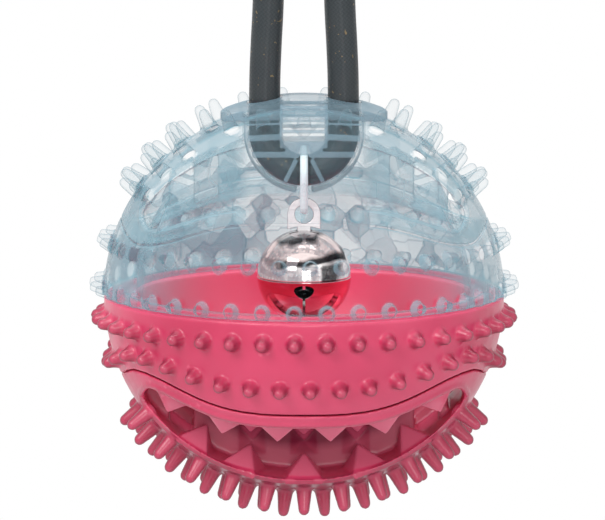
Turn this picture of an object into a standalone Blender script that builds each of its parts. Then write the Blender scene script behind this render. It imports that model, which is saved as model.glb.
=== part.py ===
"""A hanging treat ball: two rubber halves with toothed mouths, a rope through the top and a bell inside.

Lengths are in metres and +Z is up. The world origin is where the rope's loop hangs, at the inside of its top.
The ball's own centre is the empty named ball_centre, and places inside the ball are counted from it.
"""

import math

import bmesh
import bpy
from mathutils import Euler, Matrix, Vector

# The ball
BALL_RADIUS = 0.0360  # round the middle, without the nubs
LOWER_HEIGHT = 0.0355  # from the middle down to the lower skin
UPPER_HEIGHT = 0.0342  # from the middle up to the upper skin
WALL = 0.0058  # the rubber round the middle
FIT_GAP = 0.0003  # between pieces that touch
CUT_OVERRUN = 0.0020  # how far a cutter runs past what it cuts
PASSAGE_OVERRUN = 0.0010  # the same for the ways through the webs

# The wavy line where a band meets its jaw, as shares of its half's height
PARTING_SHARE = 0.490  # its depth below the ball's middle at the front and the back
RISE_SHARE = 0.163  # how much nearer the middle its crests are
SIDE_DIP_SHARE = 0.073  # how far it falls again at the two sides
CREST_SHARE = 0.83  # where the crests are across the ball's radius
FLANK_SHARE = 0.083  # from a crest to the side
WAVE_POWER = 1.8

# The tongue that locates one band in the other
TONGUE_THICKNESS = 0.0014
TONGUE_HEIGHT = 0.0008

# The nubs: rows round both bands
NUB_COUNT = 40
NUB_SHIFT = 0.2  # of a step, to the right of the middle
NUB_LENGTH = 0.0027
NUB_BASE_RADIUS = 0.0015
NUB_TIP_RADIUS = 0.0010
LOWER_NEAR_ROW_SHARE = 0.113  # from the middle down to the row beside the seam
UPPER_NEAR_ROW_SHARE = 0.053
UPPER_FAR_ROW_SHARE = 0.275
LOWER_FAR_ROW_SHARE = 0.71  # that row follows the wavy line
ROOT_DEPTH = 0.0008  # how far nubs, bristles and teeth run into the rubber

# The bristles: a strip over each pole, and an oval ring round the rope's pad
LOWER_BRISTLE_LENGTH = 0.0049
UPPER_BRISTLE_LENGTH = 0.0043
BRISTLE_BASE_RADIUS = 0.0014
BRISTLE_TIP_RADIUS = 0.0009
BRISTLE_ROW_PITCH = 0.0054
BRISTLE_ROWS = (-2, -1, 0, 1, 2)
LOWER_BRISTLE_STEP = math.radians(10.8)
LOWER_STRIP_START = 0
LOWER_ROW_SHIFT = 0.5  # of a step, in every other row
UPPER_BRISTLE_STEP = math.radians(8.8)
UPPER_STRIP_START = math.radians(36.5)
UPPER_ROW_SHIFT = 0.2
STRIP_END = math.radians(56.5)  # no bristle is further from the pole
RING_COUNT = 15
RING_MARGIN_X = 0.0023  # from the pad's edge to the ring of bristles
RING_MARGIN_Y = 0.0030

# The mouths: a pocket in the front and the back of each half
LIP = 0.0026  # rubber between the wavy line and the mouth
MOUTH_WIDTH_SHARE = 0.814  # half its width across the ball's radius
MOUTH_FLOOR_SHARE = 0.887  # the mouth's floor across the height of its half
FLOOR_SPAN_SHARE = 0.986  # the half axis of the floor's oval across the ball's radius
MOUTH_RIM_SHARE = 0.472  # where the floor meets the skin
POCKET_BACK_SHARE = 0.222  # the pocket's back wall
FLOOR_RISE_SHARE = 0.1  # the floor's rise towards the back wall
MOUTH_CORNER = 0.0016
WEB = 0.0030  # the wall between a pocket and the hollow in the middle
TROUGH_FLOOR = 0.0045  # rubber under the hollow in the middle
# The ways that treats fall through, from one side to the other as shares of the radius
FRONT_PASSAGE_SHARES = (0.550, 0.672)
BACK_PASSAGE_SHARES = (0.427, 0.544)
END_SLIT_SHARES = (0.717, 0.785)  # the gap that joins the right ends of both mouths

# The teeth inside the mouths: square pyramids, as shares of the ball's radius
TOOTH_SIDE_SHARE = 0.172
FLOOR_TOOTH_SIDE_SHARE = 0.188
FLOOR_TOOTH_PLACE_SHARES = (-0.299, 0, 0.299)  # across the ball, the larger teeth
END_TOOTH_PLACE_SHARES = (-0.540, 0.540)
ROOF_PITCH_SHARE = 0.2583
FLOOR_MARGIN_SHARE = 0.0112  # from the skin in to a tooth
ROOF_INSET_SHARE = 0.132  # from the skin in to a tooth's middle
ROOF_ROW_SHARE = 0.2333
FLOOR_TOOTH_SHARE = 0.378  # their heights as shares of the pocket's height
ROOF_TOOTH_SHARE = 0.287
BACK_TOOTH_HEIGHT = 0.0020
BACK_TOOTH_SHARE = 0.8  # smaller than the others
# Places in steps of the pitch from the middle
ROOF_TEETH_OUTER = (-2.5, -1.5, -0.5, 0.5, 1.5, 2.5)
ROOF_TEETH_INNER = (-1, 0, 1)
BACK_TEETH = (-1, 0, 1)

# The rope and the guide that holds its bend
ROPE_RADIUS = 0.0028
ROPE_SPREAD = 0.00707  # from the middle to each leg
BEND_DEPTH = 0.0048  # from the upper skin down to the bend's centre
GUIDE_WALL = 0.0006
PAD_HALF_LENGTH = 0.0150
PAD_HALF_WIDTH = 0.0110
PAD_THICKNESS = 0.00185
ROPE_EXIT_RISE = 0.0003  # from the upper skin to where the free rope starts, inside the pad
ROPE_SIDES_RESOLUTION = 2
BEND_STEPS = 12

# The free rope's own route, from its left exit over the top: x, and the height over the exit
ROPE_HALF_ROUTE = (
    (-0.00707, 0.0),
    (-0.00700, 0.0055),
    (-0.00672, 0.0120),
    (-0.00640, 0.0188),
    (-0.00660, 0.0245),
    (-0.00800, 0.0305),
    (-0.01010, 0.0360),
    (-0.01120, 0.0417),
    (-0.00970, 0.0473),
    (-0.00560, 0.0514),
    (0.0, 0.0530),
)
ROUTE_STEPS = 2  # straight runs between two points of the route

# The tie, a round white cord in a closed loop over the rope's bend
TIE_RADIUS = 0.00073
TIE_DROP = 0.00731  # from the bend's lowest line down to the tie's own line in the eye
TIE_LOWER_TURN = 0.00158  # the cord's own line, round the bell's eye
TIE_TURN_STEPS = 7

# The bell
BELL_RADIUS = 0.00845
BELL_WALL = 0.00045
EYE_OUTER_RADIUS = 0.00296
EYE_HOLE_RADIUS = 0.0017
EYE_THICKNESS = 0.0007
EYE_RIM = 0.0008  # metal under the hole
SHANK_WIDTH = 0.0024
CLINCH_WIDTH = 0.0040
CLINCH_HEIGHT = 0.0009
SOUND_HOLE_RADIUS = 0.0016
SOUND_HOLE_TILT = math.radians(17)
SLIT_WIDTH = 0.0005
PELLET_RADIUS = 0.0026

# Fineness
ROUND_STEPS = 36
OUTER_ARC_STEPS = 5
INNER_ARC_STEPS = 4
CAP_ARC_STEPS = 8
WAVE_STEPS = 11
SPIKE_SIDES = 5
SETTLING_ROUNDS = 12  # of a nub's place, which depends on itself
BELL_STEPS = 20
BELL_ARC_STEPS = 5
PASSAGE_STEPS = 4
SOUND_HOLE_SIDES = 12
PELLET_SEGMENTS = 14
PELLET_RINGS = 9
SHARP_ANGLE = math.radians(35)  # edges sharper than this aren't smoothed
MERGE_DISTANCE = 1e-6

# Derived places
BEND_CENTRE_Z = UPPER_HEIGHT - BEND_DEPTH
ROPE_EXIT_Z = UPPER_HEIGHT + ROPE_EXIT_RISE
MOUTH_HALF_WIDTH = MOUTH_WIDTH_SHARE * BALL_RADIUS
MOUTH_FLOOR_SPAN = FLOOR_SPAN_SHARE * BALL_RADIUS
MOUTH_RIM_Y = MOUTH_RIM_SHARE * BALL_RADIUS
POCKET_BACK_Y = POCKET_BACK_SHARE * BALL_RADIUS
BORE_RADIUS = ROPE_RADIUS + FIT_GAP
GUIDE_HALF_THICKNESS = BORE_RADIUS + GUIDE_WALL
BEND_BOTTOM_Z = BEND_CENTRE_Z - ROPE_SPREAD
TIE_UPPER_TURN = ROPE_RADIUS + FIT_GAP + TIE_RADIUS
TIE_LOW_LINE_Z = BEND_BOTTOM_Z - TIE_DROP
EYE_CENTRE_Z = TIE_LOW_LINE_Z + TIE_RADIUS + FIT_GAP - EYE_HOLE_RADIUS
BELL_TOP_Z = EYE_CENTRE_Z - EYE_HOLE_RADIUS - EYE_RIM - FIT_GAP
BELL_CENTRE_Z = BELL_TOP_Z - BELL_RADIUS
TIE_LOWER_TURN_Z = TIE_LOW_LINE_Z + TIE_LOWER_TURN
BELL_INNER_RADIUS = BELL_RADIUS - BELL_WALL
PELLET_DROP = BELL_INNER_RADIUS - FIT_GAP - PELLET_RADIUS
HANG_HEIGHT = ROPE_EXIT_Z + ROPE_HALF_ROUTE[-1][1] - ROPE_RADIUS
TROUGH_HALF_WIDTH = POCKET_BACK_Y - WEB
TOOTH_SIDE = TOOTH_SIDE_SHARE * BALL_RADIUS
FLOOR_TOOTH_SIDE = FLOOR_TOOTH_SIDE_SHARE * BALL_RADIUS
ROOF_TOOTH_PITCH = ROOF_PITCH_SHARE * BALL_RADIUS
FLOOR_TOOTH_MARGIN = FLOOR_MARGIN_SHARE * BALL_RADIUS
ROOF_TOOTH_INSET = ROOF_INSET_SHARE * BALL_RADIUS
ROOF_ROW_PITCH = ROOF_ROW_SHARE * BALL_RADIUS

# Colours: base colour, roughness, metallic
PINK_RUBBER = ("pink_rubber", (0.72, 0.055, 0.135), 0.42, 0.0)
CLEAR_RUBBER = ("clear_rubber", (0.42, 0.58, 0.66), 0.25, 0.0)
GREY_ROPE = ("grey_rope", (0.045, 0.055, 0.06), 0.75, 0.0)
WHITE_CORD = ("white_cord", (0.80, 0.93, 0.95), 0.45, 0.0)
CHROME = ("chrome", (0.80, 0.78, 0.78), 0.08, 1.0)

Z_ROW = Vector((0, 0, 1))
# Turns that stand a flat outline upright, facing along Y or along X
FACING_Y = Euler((math.pi / 2, 0, 0)).to_matrix().to_4x4()
FACING_X = Euler((math.pi / 2, 0, math.pi / 2)).to_matrix().to_4x4()
UPSIDE_DOWN = Matrix.Rotation(math.pi, 4, "X")


def clear_scene():
    for obj in list(bpy.data.objects):
        bpy.data.objects.remove(obj, do_unlink=True)


def new_collection(name):
    collection = bpy.data.collections.new(name)
    bpy.context.scene.collection.children.link(collection)
    return collection


def material(finish):
    name, colour, roughness, metallic = finish
    made = bpy.data.materials.get(name)
    if made is None:
        made = bpy.data.materials.new(name)
        made.use_nodes = True
        shader = made.node_tree.nodes["Principled BSDF"]
        shader.inputs["Base Color"].default_value = (*colour, 1.0)
        shader.inputs["Roughness"].default_value = roughness
        shader.inputs["Metallic"].default_value = metallic
    return made


def mesh_from(bm, name):
    mesh = bpy.data.meshes.new(name)
    bmesh.ops.recalc_face_normals(bm, faces=bm.faces)
    bm.to_mesh(mesh)
    bm.free()
    return mesh


def helper(name, mesh, matrix=None):
    """A cutter, or a shape to be joined to a piece."""
    obj = bpy.data.objects.new(name, mesh)
    CUTTERS.objects.link(obj)
    obj.hide_render = True
    obj.display_type = "WIRE"
    if matrix is not None:
        obj.data.transform(matrix)
    return obj


def piece(name, mesh, finish, parent):
    """One named sub-part, whose mesh is given about its parent empty's own place."""
    obj = bpy.data.objects.new(name, mesh)
    TREAT_BALL.objects.link(obj)
    obj.parent = parent
    obj.data.materials.clear()
    obj.data.materials.append(material(finish))
    obj.data.shade_smooth()
    obj.data.set_sharp_from_angle(angle=SHARP_ANGLE)
    return obj


def empty(name, place, parent=None):
    obj = bpy.data.objects.new(name, None)
    TREAT_BALL.objects.link(obj)
    obj.location = place
    obj.parent = parent
    return obj


def baked(obj):
    """The object's mesh with its modifiers worked in, and the object removed."""
    bpy.context.view_layer.update()
    graph = bpy.context.evaluated_depsgraph_get()
    mesh = bpy.data.meshes.new_from_object(obj.evaluated_get(graph))
    mesh.transform(obj.matrix_world)
    bpy.data.objects.remove(obj)
    bm = bmesh.new()
    bm.from_mesh(mesh)
    bmesh.ops.remove_doubles(bm, verts=bm.verts, dist=MERGE_DISTANCE)
    bmesh.ops.recalc_face_normals(bm, faces=bm.faces)
    bm.to_mesh(mesh)
    bm.free()
    return mesh


def turned(name, profile, steps, closed):
    """A profile of (radius, height) points turned about Z."""
    points = [(radius, 0, height) for radius, height in profile]
    edges = [(i, i + 1) for i in range(len(points) - 1)]
    if closed:
        edges.append((len(points) - 1, 0))
    mesh = bpy.data.meshes.new(name)
    mesh.from_pydata(points, edges, [])
    obj = helper(name, mesh)
    screw = obj.modifiers.new("turn", "SCREW")
    screw.axis = "Z"
    screw.steps = steps
    screw.render_steps = steps
    screw.use_merge_vertices = True
    screw.merge_threshold = MERGE_DISTANCE
    return baked(obj)


def slab(name, outline, thickness, turn, hole=()):
    """A flat outline of given thickness, with or without a hole, stood upright by its turn."""
    curve = bpy.data.curves.new(name, "CURVE")
    curve.dimensions = "2D"
    curve.fill_mode = "BOTH"
    curve.extrude = thickness / 2
    for line in (outline, hole):
        if not line:
            continue
        spline = curve.splines.new("POLY")
        spline.points.add(len(line) - 1)
        spline.use_cyclic_u = True
        for point, (across, up) in zip(spline.points, line):
            point.co = (across, up, 0, 1)
    obj = bpy.data.objects.new(name, curve)
    CUTTERS.objects.link(obj)
    obj.matrix_world = turn
    return baked(obj)


def tube(name, line, radius, cyclic=False, resolution=ROPE_SIDES_RESOLUTION):
    """A round tube along a line of points."""
    curve = bpy.data.curves.new(name, "CURVE")
    curve.dimensions = "3D"
    curve.bevel_depth = radius
    curve.bevel_resolution = resolution
    curve.use_fill_caps = not cyclic
    spline = curve.splines.new("POLY")
    spline.points.add(len(line) - 1)
    spline.use_cyclic_u = cyclic
    for point, place in zip(spline.points, line):
        point.co = (*place, 1)
    obj = bpy.data.objects.new(name, curve)
    CUTTERS.objects.link(obj)
    return baked(obj)


def boolean(obj, operation, other):
    """Works another shape, which moves with the piece, into the piece."""
    other.parent = obj
    modifier = obj.modifiers.new(other.name, "BOOLEAN")
    modifier.operation = operation
    modifier.solver = "EXACT"
    modifier.object = other


def cut(obj, name, mesh, matrix=None):
    boolean(obj, "DIFFERENCE", helper(name, mesh, matrix))


def join(obj, name, mesh, matrix=None):
    boolean(obj, "UNION", helper(name, mesh, matrix))


def arc(half_width, half_height, start, end, steps):
    """Points of an oval about the middle, by angle down from the level."""
    angles = [start + (end - start) * i / steps for i in range(steps + 1)]
    return [(half_width * math.cos(a), -half_height * math.sin(a)) for a in angles]


def parting(height, x):
    """Where the wavy line of a half of that height is, at a distance x across the ball."""
    crest = CREST_SHARE * BALL_RADIUS
    across = min(abs(x) / crest, 1)
    wave = (1 - math.cos(math.pi * across**WAVE_POWER)) / 2
    past_crest = max(abs(x) - crest, 0) / (FLANK_SHARE * BALL_RADIUS)
    dip = SIDE_DIP_SHARE * min(past_crest, 2) ** 2
    return height * (RISE_SHARE * wave - PARTING_SHARE - dip)


def spread(half, steps):
    """Places from one side to the other."""
    return [half * (2 * i / steps - 1) for i in range(steps + 1)]


def parting_cutter(name, height, shift, far):
    """Everything on one side of the wavy line, which is moved up by shift."""
    side = BALL_RADIUS + CUT_OVERRUN
    line = [(x, parting(height, x) + shift) for x in spread(side, 2 * WAVE_STEPS)]
    return slab(name, line + [(side, far), (-side, far)], 2 * side, FACING_Y)


def spike_template(length, base_radius, tip_radius):
    """A tapered spike along +Z whose root runs below zero."""
    root_radius = base_radius + (base_radius - tip_radius) * ROOT_DEPTH / length
    profile = [
        (0, length),
        (tip_radius, length),
        (root_radius, -ROOT_DEPTH),
        (0, -ROOT_DEPTH),
    ]
    return turned("spike", profile, SPIKE_SIDES, closed=False)


def pyramid_template(side, height):
    """A square pyramid along +Z whose root runs below zero."""
    corner = side / math.sqrt(2)
    profile = [(0, height), (corner, 0), (corner, -ROOT_DEPTH), (0, -ROOT_DEPTH)]
    mesh = turned("pyramid", profile, 4, closed=False)
    mesh.transform(Matrix.Rotation(math.pi / 4, 4, "Z"))
    return mesh


def copies(name, template, places):
    """One mesh of a template at each place, given as a matrix."""
    bm = bmesh.new()
    for place in places:
        first = len(bm.verts)
        bm.from_mesh(template)
        bm.verts.ensure_lookup_table()
        bmesh.ops.transform(bm, matrix=place, verts=bm.verts[first:])
    return mesh_from(bm, name)


def stood_on(point, outward):
    """The matrix that puts a template's +Z along outward at a point."""
    turn = outward.to_track_quat("Z", "Y").to_matrix().to_4x4()
    return Matrix.Translation(point) @ turn


def skin_place(x, y, height):
    """Where a spike stands on the lower skin, straight below x and y."""
    level = 1 - (x / BALL_RADIUS) ** 2 - (y / BALL_RADIUS) ** 2
    point = Vector((x, y, -height * math.sqrt(level)))
    outward = Vector((x / BALL_RADIUS**2, y / BALL_RADIUS**2, point.z / height**2))
    return stood_on(point, outward.normalized())


def row_places(height, depth_at, shift):
    """Spikes round a band, at the depth that depth_at gives for a distance across the ball."""
    places = []
    for i in range(NUB_COUNT):
        turn = 2 * math.pi * (i + shift) / NUB_COUNT
        out = BALL_RADIUS
        for _ in range(SETTLING_ROUNDS):
            depth = depth_at(out * math.sin(turn))
            out = BALL_RADIUS * math.sqrt(1 - (depth / height) ** 2)
        places.append(skin_place(out * math.sin(turn), -out * math.cos(turn), height))
    return places


def band(name, finish, height, rows, tongue_side):
    """The rubber ring beside the seam, with its nubs, made as the lower half's."""
    bottom = PARTING_SHARE * height + CUT_OVERRUN
    end = math.asin(bottom / height)
    inner_end = math.asin(bottom / (height - WALL))
    outer = arc(BALL_RADIUS, height, 0, end, OUTER_ARC_STEPS)
    inner = arc(BALL_RADIUS - WALL, height - WALL, inner_end, 0, INNER_ARC_STEPS)
    outer[0] = (outer[0][0], -FIT_GAP / 2)
    inner[-1] = (inner[-1][0], -FIT_GAP / 2)
    half_tongue = TONGUE_THICKNESS / 2 + (0 if tongue_side > 0 else FIT_GAP)
    rim = tongue_side * (TONGUE_HEIGHT - FIT_GAP / 2)
    if tongue_side < 0:
        rim -= FIT_GAP
    middle = BALL_RADIUS - WALL / 2
    tongue = [
        (middle - half_tongue, -FIT_GAP / 2),
        (middle - half_tongue, rim),
        (middle + half_tongue, rim),
        (middle + half_tongue, -FIT_GAP / 2),
    ]
    ring = turned(name, outer + inner + tongue, ROUND_STEPS, closed=True)
    obj = piece(name, ring, finish, BALL_CENTRE)
    below = parting_cutter(name + "_below", height, FIT_GAP / 2, -height)
    cut(obj, name + "_below", below)
    nub = spike_template(NUB_LENGTH, NUB_BASE_RADIUS, NUB_TIP_RADIUS)
    join(obj, name + "_nubs", copies(name + "_nubs", nub, rows))
    return obj


def mouth_outline(height, y):
    """The outline of a pocket across the ball at a distance y from its middle."""
    shrink = FLOOR_RISE_SHARE * (MOUTH_RIM_Y - y)
    floor_depth = MOUTH_FLOOR_SHARE * height - shrink
    floor_span = MOUTH_FLOOR_SPAN - shrink
    half = MOUTH_HALF_WIDTH - shrink
    across = spread(half - MOUTH_CORNER, WAVE_STEPS)
    roof = [(x, parting(height, x) - LIP) for x in across]
    floor = []
    for x in reversed(spread(half - MOUTH_CORNER / 2, WAVE_STEPS)):
        depth = -floor_depth * math.sqrt(max(1 - (x / floor_span) ** 2, 0))
        floor.append((x, min(depth, parting(height, x) - LIP - MOUTH_CORNER)))
    return roof + [(half, floor[0][1] / 2 + roof[-1][1] / 2)] + floor + [
        (-half, floor[-1][1] / 2 + roof[0][1] / 2)
    ]


def loft(name, near, near_y, far, far_y):
    """A solid between two outlines of as many points, across the ball at two distances."""
    bm = bmesh.new()
    rings = [
        [bm.verts.new((x, y, z)) for x, z in outline]
        for outline, y in ((near, near_y), (far, far_y))
    ]
    count = len(near)
    for i in range(count):
        after = (i + 1) % count
        bm.faces.new((rings[0][i], rings[0][after], rings[1][after], rings[1][i]))
    bm.faces.new(rings[0])
    bm.faces.new(rings[1])
    bmesh.ops.triangulate(bm, faces=bm.faces)
    return mesh_from(bm, name)


def pocket_cutter(name, height):
    """One mouth's pocket, on the front side."""
    outside = BALL_RADIUS + CUT_OVERRUN
    back = mouth_outline(height, POCKET_BACK_Y)
    front = mouth_outline(height, outside)
    return loft(name, back, -POCKET_BACK_Y, front, -outside)


def reach(height, x, z):
    """How far the skin is in front of a place."""
    return math.sqrt(BALL_RADIUS**2 * (1 - (z / height) ** 2) - x**2)


def floor_point(height, x, y):
    """A point of the front pocket's floor, and the way that its teeth stand."""
    shrink = FLOOR_RISE_SHARE * (MOUTH_RIM_Y - y)
    depth, span = MOUTH_FLOOR_SHARE * height - shrink, MOUTH_FLOOR_SPAN - shrink
    point = Vector((x, -y, -depth * math.sqrt(1 - (x / span) ** 2)))
    normal = Vector((-x / span**2, 0, -point.z / depth**2)).normalized()
    return point, (normal - Vector((0, FLOOR_RISE_SHARE, 0))).normalized()


def floor_teeth(height, place_shares, side):
    places = []
    for share in place_shares:
        x = share * BALL_RADIUS
        rim, _ = floor_point(height, x, MOUTH_RIM_Y)
        y = reach(height, x, rim.z) - side / 2 - FLOOR_TOOTH_MARGIN
        point, up = floor_point(height, x, y)
        places.append(stood_on(point, up))
    return places


def roof_teeth(height):
    step = TOOTH_SIDE / 2
    places = []
    for row, row_steps in enumerate((ROOF_TEETH_OUTER, ROOF_TEETH_INNER)):
        for k in row_steps:
            x = k * ROOF_TOOTH_PITCH
            left, right = parting(height, x - step), parting(height, x + step)
            rise, level = right - left, (left + right) / 2 - LIP
            y = reach(height, x, level) - ROOF_TOOTH_INSET - row * ROOF_ROW_PITCH
            down = Vector((rise, 0, -2 * step)).normalized()
            places.append(stood_on(Vector((x, -y, level)), down))
    return places


def back_teeth(height):
    floor, _ = floor_point(height, 0, POCKET_BACK_Y)
    middle = (floor.z - PARTING_SHARE * height - LIP) / 2
    forward = Vector((0, -1, 0))
    return [
        stood_on(Vector((k * ROOF_TOOTH_PITCH, -POCKET_BACK_Y, middle)), forward)
        for k in BACK_TEETH
    ]


def strip_places(height, start, step, row_shift):
    """The bristles of the strip over a pole, in rows across it, from the angle start outwards."""
    places = []
    for row in BRISTLE_ROWS:
        y = row * BRISTLE_ROW_PITCH
        angle = start + (row_shift * step if row % 2 else 0)
        while angle <= STRIP_END:
            x = math.sqrt(BALL_RADIUS**2 - y**2) * math.sin(angle)
            places.append(skin_place(x, y, height))
            if angle > 0:
                places.append(skin_place(-x, y, height))
            angle += step
    return places


def ring_places(height):
    """The bristles in an oval round the rope's pad."""
    half_length = PAD_HALF_LENGTH + RING_MARGIN_X
    half_width = PAD_HALF_WIDTH + RING_MARGIN_Y
    turns = [2 * math.pi * i / RING_COUNT for i in range(RING_COUNT)]
    return [
        skin_place(half_length * math.sin(t), half_width * math.cos(t), height)
        for t in turns
    ]


def trough_cutter(name, height):
    """The hollow between the pockets, open to the chamber: an oval as wide as the chamber."""
    radius = BALL_RADIUS - WALL
    bm = bmesh.new()
    bmesh.ops.create_cone(
        bm,
        cap_ends=True,
        segments=ROUND_STEPS,
        radius1=radius,
        radius2=radius,
        depth=2 * TROUGH_HALF_WIDTH,
        matrix=FACING_Y,
    )
    bmesh.ops.scale(bm, vec=(1, 1, (height - TROUGH_FLOOR) / radius), verts=bm.verts)
    return mesh_from(bm, name)


def passage_cutter(height, shares, side, front, back):
    """A way as high as the mouth, on one side, that runs from front to back along Y."""
    start, end = (share * BALL_RADIUS for share in shares)
    across = [start + (end - start) * i / PASSAGE_STEPS for i in range(PASSAGE_STEPS + 1)]
    roof = [(side * x, parting(height, x) - LIP) for x in across]
    floor = [
        (side * x, floor_point(height, x, POCKET_BACK_Y)[0].z) for x in reversed(across)
    ]
    way = slab("passage", roof + floor, back - front, FACING_Y)
    way.transform(Matrix.Translation((0, (front + back) / 2, 0)))
    return way


def jaw(name, finish, height, bristles):
    """The cap beyond the wavy line, with its two mouths, made as the lower half's."""
    start = math.asin(PARTING_SHARE - RISE_SHARE - CUT_OVERRUN / height)
    skin = arc(BALL_RADIUS, height, start, math.pi / 2, CAP_ARC_STEPS)
    skin[-1] = (0, -height)
    cap = turned(name, [(0, skin[0][1])] + skin, ROUND_STEPS, closed=False)
    obj = piece(name, cap, finish, BALL_CENTRE)
    above = parting_cutter(name + "_above", height, -FIT_GAP / 2, 0)
    cut(obj, name + "_above", above)
    cut(obj, name + "_trough", trough_cutter(name + "_trough", height))
    behind = Matrix.Rotation(math.pi, 4, "Z")
    for side, turn in (("front", None), ("back", behind)):
        cut(obj, f"{name}_{side}_mouth", pocket_cutter("mouth", height), turn)
    outer = POCKET_BACK_Y + PASSAGE_OVERRUN
    inner = TROUGH_HALF_WIDTH - FIT_GAP
    for where, shares, front, back in (
        ("front_passage", FRONT_PASSAGE_SHARES, -outer, inner),
        ("back_passage", BACK_PASSAGE_SHARES, -inner, outer),
    ):
        for side, way in (("left", -1), ("right", 1)):
            cutter = passage_cutter(height, shares, way, front, back)
            cut(obj, f"{name}_{side}_{where}", cutter)
    end_slit = passage_cutter(height, END_SLIT_SHARES, 1, -outer, outer)
    cut(obj, name + "_end_slit", end_slit)
    small = BACK_TOOTH_SHARE * TOOTH_SIDE
    room = (MOUTH_FLOOR_SHARE - PARTING_SHARE) * height - LIP
    floor_tooth = pyramid_template(FLOOR_TOOTH_SIDE, FLOOR_TOOTH_SHARE * room)
    end_tooth = pyramid_template(TOOTH_SIDE, FLOOR_TOOTH_SHARE * room)
    floor_places = floor_teeth(height, FLOOR_TOOTH_PLACE_SHARES, FLOOR_TOOTH_SIDE)
    end_places = floor_teeth(height, END_TOOTH_PLACE_SHARES, TOOTH_SIDE)
    roof_tooth = pyramid_template(TOOTH_SIDE, ROOF_TOOTH_SHARE * room)
    teeth = (
        ("floor", floor_tooth, floor_places),
        ("end", end_tooth, end_places),
        ("roof", roof_tooth, roof_teeth(height)),
        ("back", pyramid_template(small, BACK_TOOTH_HEIGHT), back_teeth(height)),
    )
    for side, turn in (("front", None), ("back", behind)):
        for where, template, places in teeth:
            label = f"{name}_{side}_{where}_teeth"
            join(obj, label, copies(label, template, places), turn)
    join(obj, name + "_bristles", bristles)
    return obj


def bristle_mesh(name, length, places):
    bristle = spike_template(length, BRISTLE_BASE_RADIUS, BRISTLE_TIP_RADIUS)
    return copies(name, bristle, places)


def lower_half():
    def far_depth(x):
        return -LOWER_FAR_ROW_SHARE * parting(LOWER_HEIGHT, x)

    near_depth = LOWER_NEAR_ROW_SHARE * LOWER_HEIGHT
    far_row = row_places(LOWER_HEIGHT, far_depth, NUB_SHIFT)
    near_row = row_places(LOWER_HEIGHT, lambda x: near_depth, NUB_SHIFT + 1 / 2)
    band("lower_shell", PINK_RUBBER, LOWER_HEIGHT, near_row + far_row, tongue_side=1)
    strip = strip_places(
        LOWER_HEIGHT, LOWER_STRIP_START, LOWER_BRISTLE_STEP, LOWER_ROW_SHIFT
    )
    jaw(
        "lower_jaw",
        PINK_RUBBER,
        LOWER_HEIGHT,
        bristle_mesh("lower_bristles", LOWER_BRISTLE_LENGTH, strip),
    )


def upper_half():
    """Made as a lower half, then turned upside down, with a slot for the guide."""
    near_depth = UPPER_NEAR_ROW_SHARE * UPPER_HEIGHT
    far_depth = UPPER_FAR_ROW_SHARE * UPPER_HEIGHT
    near_row = row_places(UPPER_HEIGHT, lambda x: near_depth, -NUB_SHIFT - 1 / 2)
    far_row = row_places(UPPER_HEIGHT, lambda x: far_depth, -NUB_SHIFT)
    shell = band("upper_shell", CLEAR_RUBBER, UPPER_HEIGHT, near_row + far_row, -1)
    strip = strip_places(
        UPPER_HEIGHT, UPPER_STRIP_START, UPPER_BRISTLE_STEP, UPPER_ROW_SHIFT
    )
    places = strip + ring_places(UPPER_HEIGHT)
    cap = jaw(
        "upper_jaw",
        CLEAR_RUBBER,
        UPPER_HEIGHT,
        bristle_mesh("upper_bristles", UPPER_BRISTLE_LENGTH, places),
    )
    slot = slab(
        "guide_slot",
        guide_outline(FIT_GAP, UPPER_HEIGHT + CUT_OVERRUN),
        2 * (GUIDE_HALF_THICKNESS + FIT_GAP),
        FACING_Y,
    )
    cut(cap, "upper_jaw_guide_slot", slot, UPSIDE_DOWN)
    for obj in (shell, cap):
        obj.rotation_euler = (math.pi, 0, 0)


def guide_outline(margin, crown):
    """The U of the guide's body, seen from the front, under an oval crown."""
    radius = ROPE_SPREAD + GUIDE_HALF_THICKNESS + margin
    steps = 2 * BEND_STEPS
    turns = [math.pi * i / steps for i in range(steps + 1)]
    bottom = [
        (-radius * math.cos(t), BEND_CENTRE_Z - radius * math.sin(t)) for t in turns
    ]
    top = [
        (-x, crown * math.sqrt(1 - (x / BALL_RADIUS) ** 2))
        for x in spread(radius, BEND_STEPS)
    ]
    return bottom + top


def bend_line(top):
    """The rope's own line in the guide, from the left leg's top to the right one's."""
    turns = [math.pi * i / BEND_STEPS for i in range(BEND_STEPS + 1)]
    bottom = [
        (-ROPE_SPREAD * math.cos(t), 0, BEND_CENTRE_Z - ROPE_SPREAD * math.sin(t))
        for t in turns
    ]
    return [(-ROPE_SPREAD, 0, top)] + bottom + [(ROPE_SPREAD, 0, top)]


def pad_body():
    """The oval pad over the pole, which follows the skin."""
    top = UPPER_HEIGHT + PAD_THICKNESS
    grown = BALL_RADIUS + PAD_THICKNESS
    bm = bmesh.new()
    bmesh.ops.create_uvsphere(
        bm, u_segments=ROUND_STEPS, v_segments=ROUND_STEPS // 2, radius=grown
    )
    bmesh.ops.scale(bm, vec=(1, 1, top / grown), verts=bm.verts)
    return mesh_from(bm, "pad")


def pad_under():
    """The skin below the pad, with a fit gap over it."""
    bm = bmesh.new()
    radius = BALL_RADIUS + FIT_GAP
    bmesh.ops.create_uvsphere(
        bm, u_segments=ROUND_STEPS, v_segments=ROUND_STEPS // 2, radius=radius
    )
    height = (UPPER_HEIGHT + FIT_GAP) / radius
    bmesh.ops.scale(bm, vec=(1, 1, height), verts=bm.verts)
    return mesh_from(bm, "skin_below_pad")


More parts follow.
